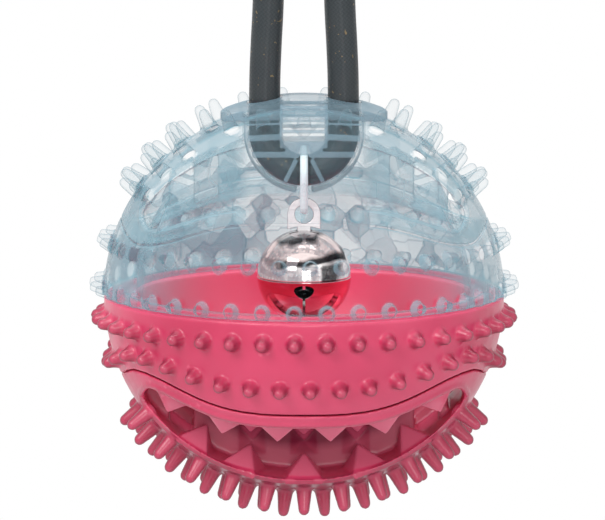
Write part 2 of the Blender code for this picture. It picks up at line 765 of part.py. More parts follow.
def pad_column():
    """The pad's oval, seen from above, as a column to keep."""
    bm = bmesh.new()
    bmesh.ops.create_cone(
        bm,
        cap_ends=True,
        segments=2 * WAVE_STEPS,
        radius1=PAD_HALF_LENGTH,
        radius2=PAD_HALF_LENGTH,
        depth=BALL_RADIUS,
    )
    bmesh.ops.scale(bm, vec=(1, PAD_HALF_WIDTH / PAD_HALF_LENGTH, 1), verts=bm.verts)
    bmesh.ops.translate(bm, verts=bm.verts, vec=(0, 0, BALL_RADIUS))
    return mesh_from(bm, "pad_column")


def rope_guide():
    """The moulded insert: an oval pad on top, and a slab with the rope's bend through it."""
    obj = piece("rope_guide", pad_body(), CLEAR_RUBBER, BALL_CENTRE)
    boolean(obj, "INTERSECT", helper("guide_column", pad_column()))
    cut(obj, "guide_skin", pad_under())
    crown = UPPER_HEIGHT + PAD_THICKNESS / 2
    body = slab(
        "guide_body", guide_outline(0, crown), 2 * GUIDE_HALF_THICKNESS, FACING_Y
    )
    join(obj, "guide_slab", body)
    bore_top = UPPER_HEIGHT + PAD_THICKNESS + CUT_OVERRUN
    cut(obj, "guide_bore", tube("bore", bend_line(bore_top), BORE_RADIUS))
    cut(obj, "guide_window", tie_window())
    return obj


def tie_window():
    """The notch over the bend's lowest point, where the tie swings."""
    radius = TIE_UPPER_TURN + TIE_RADIUS + FIT_GAP
    turns = [math.pi * i / BEND_STEPS for i in range(BEND_STEPS + 1)]
    top = [(radius * math.cos(t), BEND_BOTTOM_Z + radius * math.sin(t)) for t in turns]
    low = BEND_BOTTOM_Z - ROPE_SPREAD
    outline = [(radius, low)] + top + [(-radius, low)]
    return slab("tie_window", outline, 2 * (TIE_RADIUS + 2 * FIT_GAP), FACING_X)


def smooth_line(points, steps):
    """Points along a smooth curve through the given ones."""
    line = []
    padded = [2 * points[0] - points[1], *points, 2 * points[-1] - points[-2]]
    for a, b, c, d in zip(padded, padded[1:], padded[2:], padded[3:]):
        for i in range(steps):
            t = i / steps
            line.append(
                0.5
                * (
                    2 * b
                    + (c - a) * t
                    + (2 * a - 5 * b + 4 * c - d) * t**2
                    + (3 * b - a - 3 * c + d) * t**3
                )
            )
    return [*line, points[-1]]


def rope():
    """The rope in two nodes: its bend in the guide, and the free loop that the ball hangs by."""
    held = bend_line(ROPE_EXIT_Z - FIT_GAP)
    piece("rope_bend", tube("rope_bend", held, ROPE_RADIUS), GREY_ROPE, BALL_CENTRE)
    left = [Vector((x, 0, ROPE_EXIT_Z + rise)) for x, rise in ROPE_HALF_ROUTE]
    right = [Vector((-p.x, 0, p.z)) for p in reversed(left[:-1])]
    line = smooth_line(left + right, ROUTE_STEPS)
    line.insert(1, line[0] + Z_ROW * ROPE_RADIUS / 2)
    line.insert(-1, line[-1] + Z_ROW * ROPE_RADIUS / 2)
    piece("rope_loop", tube("rope_loop", line, ROPE_RADIUS), GREY_ROPE, BALL_CENTRE)


def tie_line():
    """The tie's own line: two turns and the straight runs between them, across Y and Z."""
    drop = BEND_BOTTOM_Z - TIE_LOWER_TURN_Z
    lean = math.asin((TIE_UPPER_TURN - TIE_LOWER_TURN) / drop)
    line = []
    for centre, radius, start, end in (
        (BEND_BOTTOM_Z, TIE_UPPER_TURN, -lean, math.pi + lean),
        (TIE_LOWER_TURN_Z, TIE_LOWER_TURN, math.pi + lean, 2 * math.pi - lean),
    ):
        for i in range(TIE_TURN_STEPS + 1):
            a = start + (end - start) * i / TIE_TURN_STEPS
            line.append((0, radius * math.cos(a), centre + radius * math.sin(a)))
    return line


def moved_to(mesh, pivot):
    """A mesh given about the ball's centre, counted from a pivot instead."""
    mesh.transform(Matrix.Translation(-pivot))
    return mesh


def tie():
    pivot = empty("tie_pivot", (0, 0, BEND_BOTTOM_Z), BALL_CENTRE)
    cord = tube("bell_tie", tie_line(), TIE_RADIUS, cyclic=True)
    piece("bell_tie", moved_to(cord, Z_ROW * BEND_BOTTOM_Z), WHITE_CORD, pivot)
    return pivot


def cup_profile(start, end):
    """A cup's wall as a profile, from one angle below the level to another."""
    inner_start = math.asin(BELL_RADIUS * math.sin(start) / BELL_INNER_RADIUS)
    outer = arc(BELL_RADIUS, BELL_RADIUS, start, end, BELL_ARC_STEPS)
    inner = arc(BELL_INNER_RADIUS, BELL_INNER_RADIUS, end, inner_start, BELL_ARC_STEPS)
    outer[-1] = (0, outer[-1][1])
    inner[0] = (0, inner[0][1])
    return inner + outer


def bell_cup(name, pivot, upside_down):
    """Half of the bell's round shell, about the pivot."""
    start = math.asin(FIT_GAP / 2 / BELL_RADIUS)
    profile = cup_profile(start, math.pi / 2)
    shell = turned(name, profile, BELL_STEPS, closed=False)
    centre = Matrix.Translation(Z_ROW * (BELL_CENTRE_Z - TIE_LOW_LINE_Z))
    shell.transform(centre @ UPSIDE_DOWN if upside_down else centre)
    return piece(name, shell, CHROME, pivot)


def eye_outline():
    """The bell's eye: a round top, straight sides, and a shank clinched inside the bell."""
    turns = [math.pi * i / BEND_STEPS for i in range(BEND_STEPS + 1)]
    top = [
        (EYE_OUTER_RADIUS * math.cos(t), EYE_CENTRE_Z + EYE_OUTER_RADIUS * math.sin(t))
        for t in turns
    ]
    foot = BELL_TOP_Z + FIT_GAP
    under = BELL_CENTRE_Z + BELL_INNER_RADIUS - 2 * FIT_GAP
    shank, clinch = SHANK_WIDTH / 2, CLINCH_WIDTH / 2
    left = [
        (-EYE_OUTER_RADIUS, foot),
        (-shank, foot),
        (-shank, under),
        (-clinch, under),
        (-clinch, under - CLINCH_HEIGHT),
    ]
    return top + left + [(-x, z) for x, z in reversed(left)]


def bell(tie_pivot):
    drop = TIE_LOW_LINE_Z - BEND_BOTTOM_Z
    pivot = empty("bell_pivot", (0, 0, drop), tie_pivot)
    top = bell_cup("bell_top", pivot, upside_down=True)
    bottom = bell_cup("bell_bottom", pivot, upside_down=False)
    from_pivot = Matrix.Translation(-Z_ROW * TIE_LOW_LINE_Z)

    slot_width = SHANK_WIDTH + 2 * FIT_GAP
    slot = slab(
        "shank_slot",
        rectangle(slot_width, BELL_CENTRE_Z, BELL_TOP_Z + CUT_OVERRUN),
        EYE_THICKNESS + 2 * FIT_GAP,
        FACING_Y,
    )
    cut(top, "bell_top_slot", slot, from_pivot)
    round_end = BELL_RADIUS * math.cos(SOUND_HOLE_TILT)
    slit = slab(
        "slit",
        rectangle(
            2 * round_end,
            BELL_CENTRE_Z - BELL_RADIUS - CUT_OVERRUN,
            BELL_CENTRE_Z - BELL_RADIUS * math.sin(SOUND_HOLE_TILT),
        ),
        SLIT_WIDTH,
        FACING_X,
    )
    cut(bottom, "bell_bottom_slit", slit, from_pivot)
    for side, facing in (("front", -1), ("back", 1)):
        way = Matrix.Rotation(facing * (math.pi / 2 + SOUND_HOLE_TILT), 4, "X")
        hole = Matrix.Translation(Z_ROW * (BELL_CENTRE_Z - TIE_LOW_LINE_Z))
        cut(bottom, f"bell_{side}_sound_hole", sound_hole(), hole @ way)

    turns = [2 * math.pi * i / BELL_STEPS for i in range(BELL_STEPS)]
    hole = [
        (EYE_HOLE_RADIUS * math.cos(t), EYE_CENTRE_Z + EYE_HOLE_RADIUS * math.sin(t))
        for t in turns
    ]
    eye = slab("bell_eye", eye_outline(), EYE_THICKNESS, FACING_Y, hole)
    piece("bell_eye", moved_to(eye, Z_ROW * TIE_LOW_LINE_Z), CHROME, pivot)

    centre = empty("pellet_pivot", (0, 0, BELL_CENTRE_Z - TIE_LOW_LINE_Z), pivot)
    bm = bmesh.new()
    bmesh.ops.create_uvsphere(
        bm, u_segments=PELLET_SEGMENTS, v_segments=PELLET_RINGS, radius=PELLET_RADIUS
    )
    bmesh.ops.translate(bm, verts=bm.verts, vec=(0, 0, -PELLET_DROP))
    piece("bell_pellet", mesh_from(bm, "bell_pellet"), CHROME, centre)


def rectangle(width, low, high):
    half = width / 2
    return [(-half, low), (half, low), (half, high), (-half, high)]


def sound_hole():
    """A short rod from the bell's middle out through its wall."""
    bm = bmesh.new()
    length = BELL_RADIUS + CUT_OVERRUN
    bmesh.ops.create_cone(
        bm,
        cap_ends=True,
        segments=SOUND_HOLE_SIDES,
        radius1=SOUND_HOLE_RADIUS,
        radius2=SOUND_HOLE_RADIUS,
        depth=length,
    )
    bmesh.ops.translate(bm, verts=bm.verts, vec=(0, 0, -length))
    return mesh_from(bm, "sound_hole")


clear_scene()
TREAT_BALL = new_collection("treat_ball")
CUTTERS = new_collection("cutters")
BALL_CENTRE = empty("ball_centre", (0, 0, -HANG_HEIGHT))
lower_half()
upper_half()
rope_guide()
rope()
bell(tie())
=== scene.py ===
"""The looks of a hanging treat ball: rubber halves, a braided rope, a white tie and a bell.

Lengths are in metres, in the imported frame: +Z is up and the rope's loop hangs at the origin.
Shapes of the ball are made about its own centre and then moved down by HANG.
"""

from math import asin, cos, pi, radians, sin, sqrt

import bmesh
import bpy
import numpy as np
from mathutils import Euler, Matrix, Vector


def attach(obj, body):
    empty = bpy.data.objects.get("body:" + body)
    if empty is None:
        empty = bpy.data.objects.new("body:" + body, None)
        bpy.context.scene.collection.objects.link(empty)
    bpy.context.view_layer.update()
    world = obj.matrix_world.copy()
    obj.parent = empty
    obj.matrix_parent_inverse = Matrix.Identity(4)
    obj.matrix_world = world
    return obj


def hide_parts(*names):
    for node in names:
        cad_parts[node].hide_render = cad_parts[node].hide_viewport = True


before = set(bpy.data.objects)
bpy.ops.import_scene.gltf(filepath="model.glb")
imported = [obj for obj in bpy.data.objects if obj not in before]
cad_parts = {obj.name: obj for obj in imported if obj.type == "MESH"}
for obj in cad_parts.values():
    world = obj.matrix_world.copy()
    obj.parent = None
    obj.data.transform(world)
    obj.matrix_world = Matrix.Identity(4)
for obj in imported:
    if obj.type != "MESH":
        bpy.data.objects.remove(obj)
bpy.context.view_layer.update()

# The ball, as in the frame
HANG = 0.0847
BALL_RADIUS = 0.0360
LOWER_HEIGHT = 0.0355
UPPER_HEIGHT = 0.0342
WALL = 0.0058
FIT_GAP = 0.0003
OVERRUN = 0.0020

# The wavy line, as shares of a half's height and of the ball's radius
PARTING_SHARE = 0.490
RISE_SHARE = 0.163
SIDE_DIP_SHARE = 0.073
CREST_SHARE = 0.83
FLANK_SHARE = 0.083
WAVE_POWER = 1.8
TONGUE_THICKNESS = 0.0014
TONGUE_HEIGHT = 0.0008

# Nubs and bristles
NUB_COUNT = 40
NUB_SHIFT = 0.2  # of a step, to the right
UPPER_NUB_TILT = radians(3.5)  # from square to the skin, upwards
# Radii at the foot, the base and the tip, the length, and the roundness of a flat tip's edge
LOWER_NUB = (0.00166, 0.00146, 0.00108, 0.0027)
UPPER_NUB = (0.00142, 0.00136, 0.00086, 0.0027, 0.0003)
LOWER_BRISTLE = (0.00175, 0.00142, 0.00102, 0.0049)
UPPER_BRISTLE = (0.00170, 0.00140, 0.00100, 0.0043)
ROOT = 0.0010  # of spikes and teeth, below the skin
LOWER_NEAR_ROW = 0.0040
UPPER_NEAR_ROW = 0.0016
UPPER_FAR_ROW = 0.0094
LOWER_FAR_ROW_SHARE = 0.71
BRISTLE_ROW_PITCH = 0.0054
LOWER_STRIP = (0, radians(10.8), 0.5)  # first angle, step, shift of every other row
UPPER_STRIP = (radians(36.5), radians(8.8), 0.2)
STRIP_END = radians(56.5)
RING_COUNT = 15
RING_BESIDE = 0.0023  # the guide's pad
RING_AHEAD = 0.0030

# Mouths
LIP = 0.0026
MOUTH_HALF_WIDTH = 0.0293
MOUTH_FLOOR_SHARE = 0.887
MOUTH_FLOOR_SPAN = 0.0355
MOUTH_RIM_Y = 0.0170
POCKET_BACK_Y = 0.0080
FLOOR_RISE = 0.1
MOUTH_CORNER = 0.0016
TROUGH_FLOOR = 0.0045
TROUGH_HALF_WIDTH = 0.0050
# The ways through the webs: sides, across from, across to, front and back
WAYS = (
    ((-1, 1), 0.0198, 0.0242, -0.0090, 0.0047),
    ((-1, 1), 0.0154, 0.0196, -0.0047, 0.0090),
    ((1,), 0.0258, 0.0283, -0.0090, 0.0090),
)
BEAD_RADIUS = 0.00062
BEAD_MARGIN = 0.0007
BEAD_INSET = 0.00025

# Teeth
TOOTH_SIDE = 0.0062
FLOOR_TOOTH_SIDE = 0.00677
FLOOR_TOOTH_SHARE = 0.378
ROOF_TOOTH_SHARE = 0.287
BACK_TOOTH_HEIGHT = 0.0020
BACK_TOOTH_SIDE = 0.0050
FLOOR_TOOTH_PLACES = (-0.01076, 0, 0.01076)
END_TOOTH_PLACES = (-0.01944, 0.01944)
FLOOR_TOOTH_MARGIN = 0.0004
ROOF_TOOTH_PITCH = 0.0093
ROOF_TOOTH_INSET = 0.00475
ROOF_ROW_PITCH = 0.0084

# Rope, guide, tie and bell
ROPE_RADIUS = 0.0028
ROPE_SPREAD = 0.00707
BEND_CENTRE_Z = 0.0294
ROPE_EXIT_Z = 0.0345
END_GAP = 0.00004  # between the two pieces of the rope
PAD_HALF_LENGTH = 0.0150
PAD_HALF_WIDTH = 0.0110
PAD_THICKNESS = 0.00185
GUIDE_WALL = 0.0006
BORE_RADIUS = ROPE_RADIUS + FIT_GAP
GUIDE_HALF_THICKNESS = BORE_RADIUS + GUIDE_WALL
BEND_BOTTOM_Z = BEND_CENTRE_Z - ROPE_SPREAD
RIB_HALF_DEPTH = 0.0003
RIB_INSET = 0.0001
ROPE_HALF_ROUTE = (
    (-0.00707, 0.0),
    (-0.00700, 0.0055),
    (-0.00672, 0.0120),
    (-0.00640, 0.0188),
    (-0.00660, 0.0245),
    (-0.00800, 0.0305),
    (-0.01010, 0.0360),
    (-0.01120, 0.0417),
    (-0.00970, 0.0473),
    (-0.00560, 0.0514),
    (0.0, 0.0530),
)
TIE_RADIUS = 0.00073
STRAND_DEPTH = 0.000012
TIE_UPPER_TURN = ROPE_RADIUS + FIT_GAP + TIE_RADIUS
TIE_LOWER_TURN = 0.00158
TIE_LOWER_TURN_Z = 0.0166
BELL_RADIUS = 0.00845
BELL_WALL = 0.00045
BELL_CENTRE_Z = 0.0031
EYE_CENTRE_Z = 0.01435
EYE_OUTER_RADIUS = 0.00296
EYE_HOLE_RADIUS = 0.0017
EYE_THICKNESS = 0.0007
EYE_EDGE = 0.00014
SHANK_WIDTH = 0.0024
FOOT_HALF_WIDTH = 0.0020
FOOT_THICKNESS = 0.0009
SLIT_WIDTH = 0.0005
SLIT_TOP = 0.0006
HOLE_Z = 0.00125
HOLE_SIZE = 0.00172
BACK_HOLE_RISE = 0.0004
PELLET_RADIUS = 0.0026
PELLET_RIDGE = 0.00008

# Fineness
VOXEL = 0.0003
RIB_VOXEL = 0.00018
SHARE_KEPT = 0.6  # of a moulding's faces
CAP_SHARE_KEPT = 0.55
ROPE_SIDES = 40
ROUND_STEPS = 160
WAVE_STEPS = 44

CENTRE = Matrix.Translation((0, 0, -HANG))
UPSIDE_DOWN = Matrix.Rotation(pi, 4, "X")
BEHIND = Matrix.Rotation(pi, 4, "Z")
FACING_Y = Euler((pi / 2, 0, 0)).to_matrix().to_4x4()

# The camera, by the photograph's own scale
SCALE = 0.00018  # metres to a pixel
CAMERA_TILT = radians(8.3)
CAMERA_DISTANCE = 2.0
AIM_RIGHT = -1.5 * SCALE
AIM_UP = 33 * SCALE
VIEW_WIDTH = 605 * SCALE

UV_NAME = "length_and_turn"
SHARE_FOR_LIGHT = 0.08  # of the clear rubber's density, as lights meet it
TABLE_Z = -0.175
TABLE_HALF_SIDE = 0.19


def linked(name, data):
    obj = bpy.data.objects.new(name, data)
    bpy.context.scene.collection.objects.link(obj)
    return obj


def camera():
    """A long lens in front of the ball, looking a little down."""
    data = bpy.data.cameras.new("camera")
    data.sensor_width = 36
    data.lens = data.sensor_width * CAMERA_DISTANCE / VIEW_WIDTH
    data.clip_start, data.clip_end = 0.01, 20
    obj = linked("camera", data)
    up = Vector((0, sin(CAMERA_TILT), cos(CAMERA_TILT)))
    forward = Vector((0, cos(CAMERA_TILT), -sin(CAMERA_TILT)))
    aim = Vector((AIM_RIGHT, 0, -HANG)) + up * AIM_UP
    obj.location = aim - forward * CAMERA_DISTANCE
    obj.rotation_euler = (pi / 2 - CAMERA_TILT, 0, 0)
    bpy.context.scene.camera = obj


def baked(obj):
    """The object's mesh with its modifiers worked in, and the object removed."""
    bpy.context.view_layer.update()
    graph = bpy.context.evaluated_depsgraph_get()
    mesh = bpy.data.meshes.new_from_object(obj.evaluated_get(graph))
    mesh.transform(obj.matrix_world)
    bpy.data.objects.remove(obj)
    return mesh


def mesh_from(bm, name):
    bmesh.ops.recalc_face_normals(bm, faces=bm.faces)
    mesh = bpy.data.meshes.new(name)
    bm.to_mesh(mesh)
    bm.free()
    return mesh


def moved(mesh, matrix):
    made = mesh.copy()
    made.transform(matrix)
    return made


def evenly(start, end, steps):
    """Numbers from start to end in even steps, with both ends."""
    return [start + (end - start) * i / steps for i in range(steps + 1)]


def lathe(name, profile, steps, closed=False):
    """A profile of (radius, height) points turned about Z."""
    bm = bmesh.new()
    turns = evenly(0, 2 * pi, steps)[:-1]
    rings = []
    for radius, z in profile:
        around = turns if radius > 0 else turns[:1]
        rings.append([bm.verts.new((radius * cos(t), radius * sin(t), z)) for t in around])
    pairs = list(zip(rings, rings[1:]))
    if closed:
        pairs.append((rings[-1], rings[0]))
    for a, b in pairs:
        for i in range(steps):
            j = (i + 1) % steps
            corners = [a[i % len(a)], a[j % len(a)], b[j % len(b)], b[i % len(b)]]
            bm.faces.new(list(dict.fromkeys(corners)))
    return mesh_from(bm, name)


def loft(name, near, near_y, far, far_y):
    """A solid between two outlines of as many (x, z) points, at two places along Y."""
    bm = bmesh.new()
    rings = [
        [bm.verts.new((x, y, z)) for x, z in outline]
        for outline, y in ((near, near_y), (far, far_y))
    ]
    count = len(near)
    for i in range(count):
        after = (i + 1) % count
        bm.faces.new((rings[0][i], rings[0][after], rings[1][after], rings[1][i]))
    bm.faces.new(rings[0])
    bm.faces.new(rings[1])
    bmesh.ops.triangulate(bm, faces=bm.faces)
    return mesh_from(bm, name)


def prism(name, outline, half_depth):
    return loft(name, outline, -half_depth, outline, half_depth)


def together(name, meshes):
    bm = bmesh.new()
    for mesh in meshes:
        bm.from_mesh(mesh)
    return mesh_from(bm, name)


def copies(template, places):
    """One mesh of a template at each place, given as a matrix."""
    return together("copies", [moved(template, place) for place in places])


def worked(name, mesh, *steps):
    """A mesh with others cut from it or joined to it, one after the other."""
    obj = linked(name, mesh)
    others = []
    for operation, other in steps:
        others.append(linked("shape", other))
        modifier = obj.modifiers.new("shape", "BOOLEAN")
        modifier.operation = operation
        modifier.solver = "EXACT"
        modifier.object = others[-1]
    made = baked(obj)
    for other in others:
        bpy.data.objects.remove(other)
    return made


def cut(name, mesh, *others):
    return worked(name, mesh, *(("DIFFERENCE", other) for other in others))


def moulded(name, meshes, share, rounds=3, voxel=VOXEL):
    """Overlapping shapes as one moulding, with small fillets where they meet."""
    obj = linked(name, together(name, meshes))
    remesh = obj.modifiers.new("remesh", "REMESH")
    remesh.mode = "VOXEL"
    remesh.voxel_size = voxel
    remesh.adaptivity = 0
    soften = obj.modifiers.new("soften", "SMOOTH")
    soften.factor = 0.5
    soften.iterations = rounds
    fewer = obj.modifiers.new("fewer", "DECIMATE")
    fewer.ratio = share
    mesh = baked(obj)
    mesh.shade_smooth()
    return mesh


def piece(name, mesh, finish, body, slot, *nodes):
    """One shown piece that rides on a body and stands for nodes of the frame."""
    mesh.transform(CENTRE)
    obj = linked(name, mesh)
    mesh.materials.clear()
    mesh.materials.append(finish)
    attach(obj, body)
    if nodes:
        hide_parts(*nodes)
    return obj


def arc(half_width, half_height, start, end, steps):
    """Points of an oval about the middle, by angle down from the level."""
    angles = evenly(start, end, steps)
    return [(half_width * cos(a), -half_height * sin(a)) for a in angles]


def round_line(radius, centre_z, angles):
    return [(radius * cos(a), centre_z + radius * sin(a)) for a in angles]


def spread(half, steps):
    return [half * (2 * i / steps - 1) for i in range(steps + 1)]


def parting(height, x):
    """Where the wavy line of a half is, at a distance x across the ball."""
    crest = CREST_SHARE * BALL_RADIUS
    across = min(abs(x) / crest, 1)
    wave = (1 - cos(pi * across**WAVE_POWER)) / 2
    past_crest = max(abs(x) - crest, 0) / (FLANK_SHARE * BALL_RADIUS)
    dip = SIDE_DIP_SHARE * min(past_crest, 2) ** 2
    return height * (RISE_SHARE * wave - PARTING_SHARE - dip)


def parting_cutter(height, shift, far):
    side = BALL_RADIUS + OVERRUN
    line = [(x, parting(height, x) + shift) for x in spread(side, 2 * WAVE_STEPS)]
    return prism("wave", line + [(side, far), (-side, far)], side)


def stood_on(point, outward):
    turn = outward.to_track_quat("Z", "Y").to_matrix().to_4x4()
    return Matrix.Translation(point) @ turn


def skin_place(x, y, height):
    level = 1 - (x / BALL_RADIUS) ** 2 - (y / BALL_RADIUS) ** 2
    point = Vector((x, y, -height * sqrt(level)))
    outward = Vector((x / BALL_RADIUS**2, y / BALL_RADIUS**2, point.z / height**2))
    return stood_on(point, outward.normalized())


def row_places(height, depth_at, shift):
    places = []
    for i in range(NUB_COUNT):
        turn = 2 * pi * (i + shift) / NUB_COUNT
        out = BALL_RADIUS
        for _ in range(12):
            depth = depth_at(out * sin(turn))
            out = BALL_RADIUS * sqrt(1 - (depth / height) ** 2)
        places.append(skin_place(out * sin(turn), -out * cos(turn), height))
    return places


def finger(foot, base, tip, length, soft=None):
    """A tapered spike along +Z with a flared foot, and a round tip or a flat, soft-edged one."""
    soft = soft or tip
    start = length - soft
    round_tip = [
        (tip - soft + soft * cos(a), start + soft * sin(a))
        for a in map(radians, (12, 30, 48, 66, 80))
    ]
    profile = [
        (0, -ROOT),
        (base, -ROOT),
        (foot, -0.00025),
        (foot - 0.00008, 0.0001),
        (base + 0.00008, 0.00032),
        (base, 0.0006),
        (base * 0.45 + tip * 0.55, start * 0.62),
        *round_tip,
        (0, length),
    ]
    return lathe("finger", profile, 18)


def pyramid(side, height):
    corner = side / sqrt(2)
    mesh = lathe("pyramid", [(0, -ROOT), (corner, -ROOT), (corner, 0), (0, height)], 4)
    mesh.transform(Matrix.Rotation(pi / 4, 4, "Z"))
    return mesh


def mouth_outline(height, y):
    """The outline of a pocket across the ball at a distance y from its middle."""
    shrink = FLOOR_RISE * (MOUTH_RIM_Y - y)
    floor_depth, floor_span = MOUTH_FLOOR_SHARE * height - shrink, MOUTH_FLOOR_SPAN - shrink
    half = MOUTH_HALF_WIDTH - shrink
    roof = [(x, parting(height, x) - LIP) for x in spread(half - MOUTH_CORNER, WAVE_STEPS)]
    floor = []
    for x in reversed(spread(half - MOUTH_CORNER / 2, WAVE_STEPS)):
        depth = -floor_depth * sqrt(max(1 - (x / floor_span) ** 2, 0))
        floor.append((x, min(depth, parting(height, x) - LIP - MOUTH_CORNER)))
    middle = floor[0][1] / 2 + roof[-1][1] / 2
    return roof + [(half, middle)] + floor + [(-half, middle)]


def reach(height, x, z):
    """How far the skin is in front of a place."""
    return sqrt(max(BALL_RADIUS**2 * (1 - (z / height) ** 2) - x**2, 0))


def rim_line(height):
    """The bead's line on the skin round the front mouth, a little outside its edge."""
    edge = []
    for i in range(len(mouth_outline(height, MOUTH_RIM_Y))):
        y = MOUTH_RIM_Y
        for _ in range(10):
            x, z = mouth_outline(height, y)[i]
            y = reach(height, x, z)
        edge.append((x, 0.0, z))
    edge = evened(edge, 0.0006, cyclic=True)[:, [0, 2]]
    along = np.roll(edge, -1, 0) - np.roll(edge, 1, 0)
    along /= np.linalg.norm(along, axis=1)[:, None]
    outward = np.stack([-along[:, 1], along[:, 0]], axis=1)
    if np.sum((edge - edge.mean(axis=0)) * outward) < 0:
        outward = -outward
    line = [Vector((x, -reach(height, x, z), z)) for x, z in edge + BEAD_MARGIN * outward]
    return [p - p.normalized() * BEAD_INSET for p in line]


def evened(line, spacing, cyclic):
    """The same line, as points at even distances along it, with its corners rounded off."""
    points = np.array([tuple(p) for p in line])
    if cyclic:
        points = np.vstack([points, points[:1]])
    along = np.r_[0, np.cumsum(np.linalg.norm(np.diff(points, axis=0), axis=1))]
    count = max(int(along[-1] / spacing), 8)
    at = np.linspace(0, along[-1], count, endpoint=not cyclic)
    made = np.stack([np.interp(at, along, points[:, k]) for k in range(3)], axis=1)
    if cyclic:
        for _ in range(3):
            made = (np.roll(made, 1, 0) + 2 * made + np.roll(made, -1, 0)) / 4
    return made


def tube(name, line, radius, sides, cyclic=False, relief=None):
    """A tube along points, with its length and its angle as UVs, in turns of its girth."""
    points = np.asarray(line, dtype=float)
    count = len(points)
    ahead = np.roll(points, -1, 0) - np.roll(points, 1, 0)
    if not cyclic:
        ahead[0] = points[1] - points[0]
        ahead[-1] = points[-1] - points[-2]
    ahead /= np.linalg.norm(ahead, axis=1)[:, None]
    side = np.cross(ahead[0], (0.0, 1.0, 0.0))
    if np.linalg.norm(side) < 0.1:
        side = np.cross(ahead[0], (1.0, 0.0, 0.0))
    along = np.r_[0, np.cumsum(np.linalg.norm(np.diff(points, axis=0), axis=1))]
    turns = 2 * np.pi * np.arange(sides) / sides
    bm = bmesh.new()
    rings = []
    for point, direction, length in zip(points, ahead, along):
        side = side - direction * np.dot(side, direction)
        side /= np.linalg.norm(side)
        other = np.cross(direction, side)
        ring = []
        for t in turns:
            out = radius + (relief(t, length) if relief else 0)
            ring.append(bm.verts.new(point + out * (cos(t) * side + sin(t) * other)))
        rings.append(ring)
    layer = bm.loops.layers.uv.new(UV_NAME)
    girth = 2 * pi * radius
    for i in range(count if cyclic else count - 1):
        k = (i + 1) % count
        near, far = along[i], along[i] + np.linalg.norm(points[k] - points[i])
        for j in range(sides):
            m = (j + 1) % sides
            face = bm.faces.new((rings[i][j], rings[i][m], rings[k][m], rings[k][j]))
            corners = ((near, j), (near, j + 1), (far, j + 1), (far, j))
            for loop, (length, step) in zip(face.loops, corners):
                loop[layer].uv = (length / girth, step / sides)
    if not cyclic:
        for ring, place in ((rings[0], points[0]), (rings[-1], points[-1])):
            middle = bm.verts.new(place)
            for j in range(sides):
                bm.faces.new((ring[j], ring[(j + 1) % sides], middle))
    mesh = mesh_from(bm, name)
    mesh.shade_smooth()
    return mesh


def smooth_line(points, steps):
    """Points along a smooth curve through the given ones."""
    line = []
    padded = [2 * points[0] - points[1], *points, 2 * points[-1] - points[-2]]
    for a, b, c, d in zip(padded, padded[1:], padded[2:], padded[3:]):
        for i in range(steps):
            t = i / steps
            cubic = (3 * b - a - 3 * c + d) * t**3
            line.append(0.5 * (2 * b + (c - a) * t + (2 * a - 5 * b + 4 * c - d) * t**2 + cubic))
    return [*line, points[-1]]


def node(tree, kind, inputs=(), **settings):
    made = tree.nodes.new("ShaderNode" + kind)
    for key, value in settings.items():
        setattr(made, key, value)
    for key, value in dict(inputs).items():
        fill(made.inputs[key], value)
    return made


def fill(socket, value):
    """Links a socket to another one, or sets its own value."""
    if isinstance(value, bpy.types.NodeSocket):
        socket.id_data.links.new(value, socket)
    elif socket.type == "RGBA" and len(value) == 3:
        socket.default_value = (*value, 1)
    else:
        socket.default_value = value


def after(kind, inputs, **settings):
    """A node in the tree of the first socket that feeds it."""
    sockets = [v for v in inputs.values() if isinstance(v, bpy.types.NodeSocket)]
    return node(sockets[0].id_data, kind, inputs, **settings)


def source(tree, kind, output):
    return node(tree, kind).outputs[output]


def part(vector, axis):
    return after("SeparateXYZ", {"Vector": vector}).outputs[axis]


def sums(operation, *numbers):
    return after("Math", dict(enumerate(numbers)), operation=operation).outputs[0]


def times(first, *others):
    for other in others:
        first = sums("MULTIPLY", first, other)
    return first


def plus(a, b):
    return sums("ADD", a, b)


def between(value, low, high, from_low=0.0, from_high=1.0):
    """A value carried from one range to another, and held at its ends."""
    inputs = {
        "Value": value,
        "From Min": from_low,
        "From Max": from_high,
        "To Min": low,
        "To Max": high,
    }
    return after("MapRange", inputs).outputs["Result"]


def ramp(fac, *stops):
    """A colour ramp of (place, colour) stops."""
    made = after("ValToRGB", {"Fac": fac})
    elements = made.color_ramp.elements
    while len(elements) < len(stops):
        elements.new(0.5)
    for element, (place, colour) in zip(elements, stops):
        element.position = place
        element.color = (*colour, 1)
    return made.outputs["Color"]


def mixed(fac, a, b):
    """One colour turning into another; the numbers are the Mix node's colour sockets."""
    return after("Mix", {0: fac, 6: a, 7: b}, data_type="RGBA").outputs[2]


def noise(place, scale, detail=2.0, roughness=0.5, distortion=0.0):
    inputs = {
        "Vector": place,
        "Scale": scale,
        "Detail": detail,
        "Roughness": roughness,
        "Distortion": distortion,
    }
    return after("TexNoise", inputs).outputs["Fac"]


def bump(height, strength, distance):
    inputs = {"Strength": strength, "Distance": distance, "Height": height}
    return after("Bump", inputs).outputs["Normal"]


def new_material(name):
    made = bpy.data.materials.new(name)
    made.use_nodes = True
    return made, made.node_tree


def feed(made, **inputs):
    """The material, once its shader's inputs are filled."""
    shader = made.node_tree.nodes["Principled BSDF"]
    for key, value in inputs.items():
        fill(shader.inputs[key.replace("_", " ")], value)
    return made


def from_centre(tree):
    """A place counted from the ball's centre, and how far out it is: 1 on the upper skin."""
    place = source(tree, "TexCoord", "Object")
    centred = after("VectorMath", {0: place, 1: (0, 0, HANG)}, operation="ADD").outputs[0]
    shares = (1 / BALL_RADIUS, 1 / BALL_RADIUS, 1 / UPPER_HEIGHT)
    scaled = after("VectorMath", {0: centred, 1: shares}, operation="MULTIPLY").outputs[0]
    level = after("VectorMath", {0: scaled}, operation="LENGTH").outputs["Value"]
    return place, centred, level


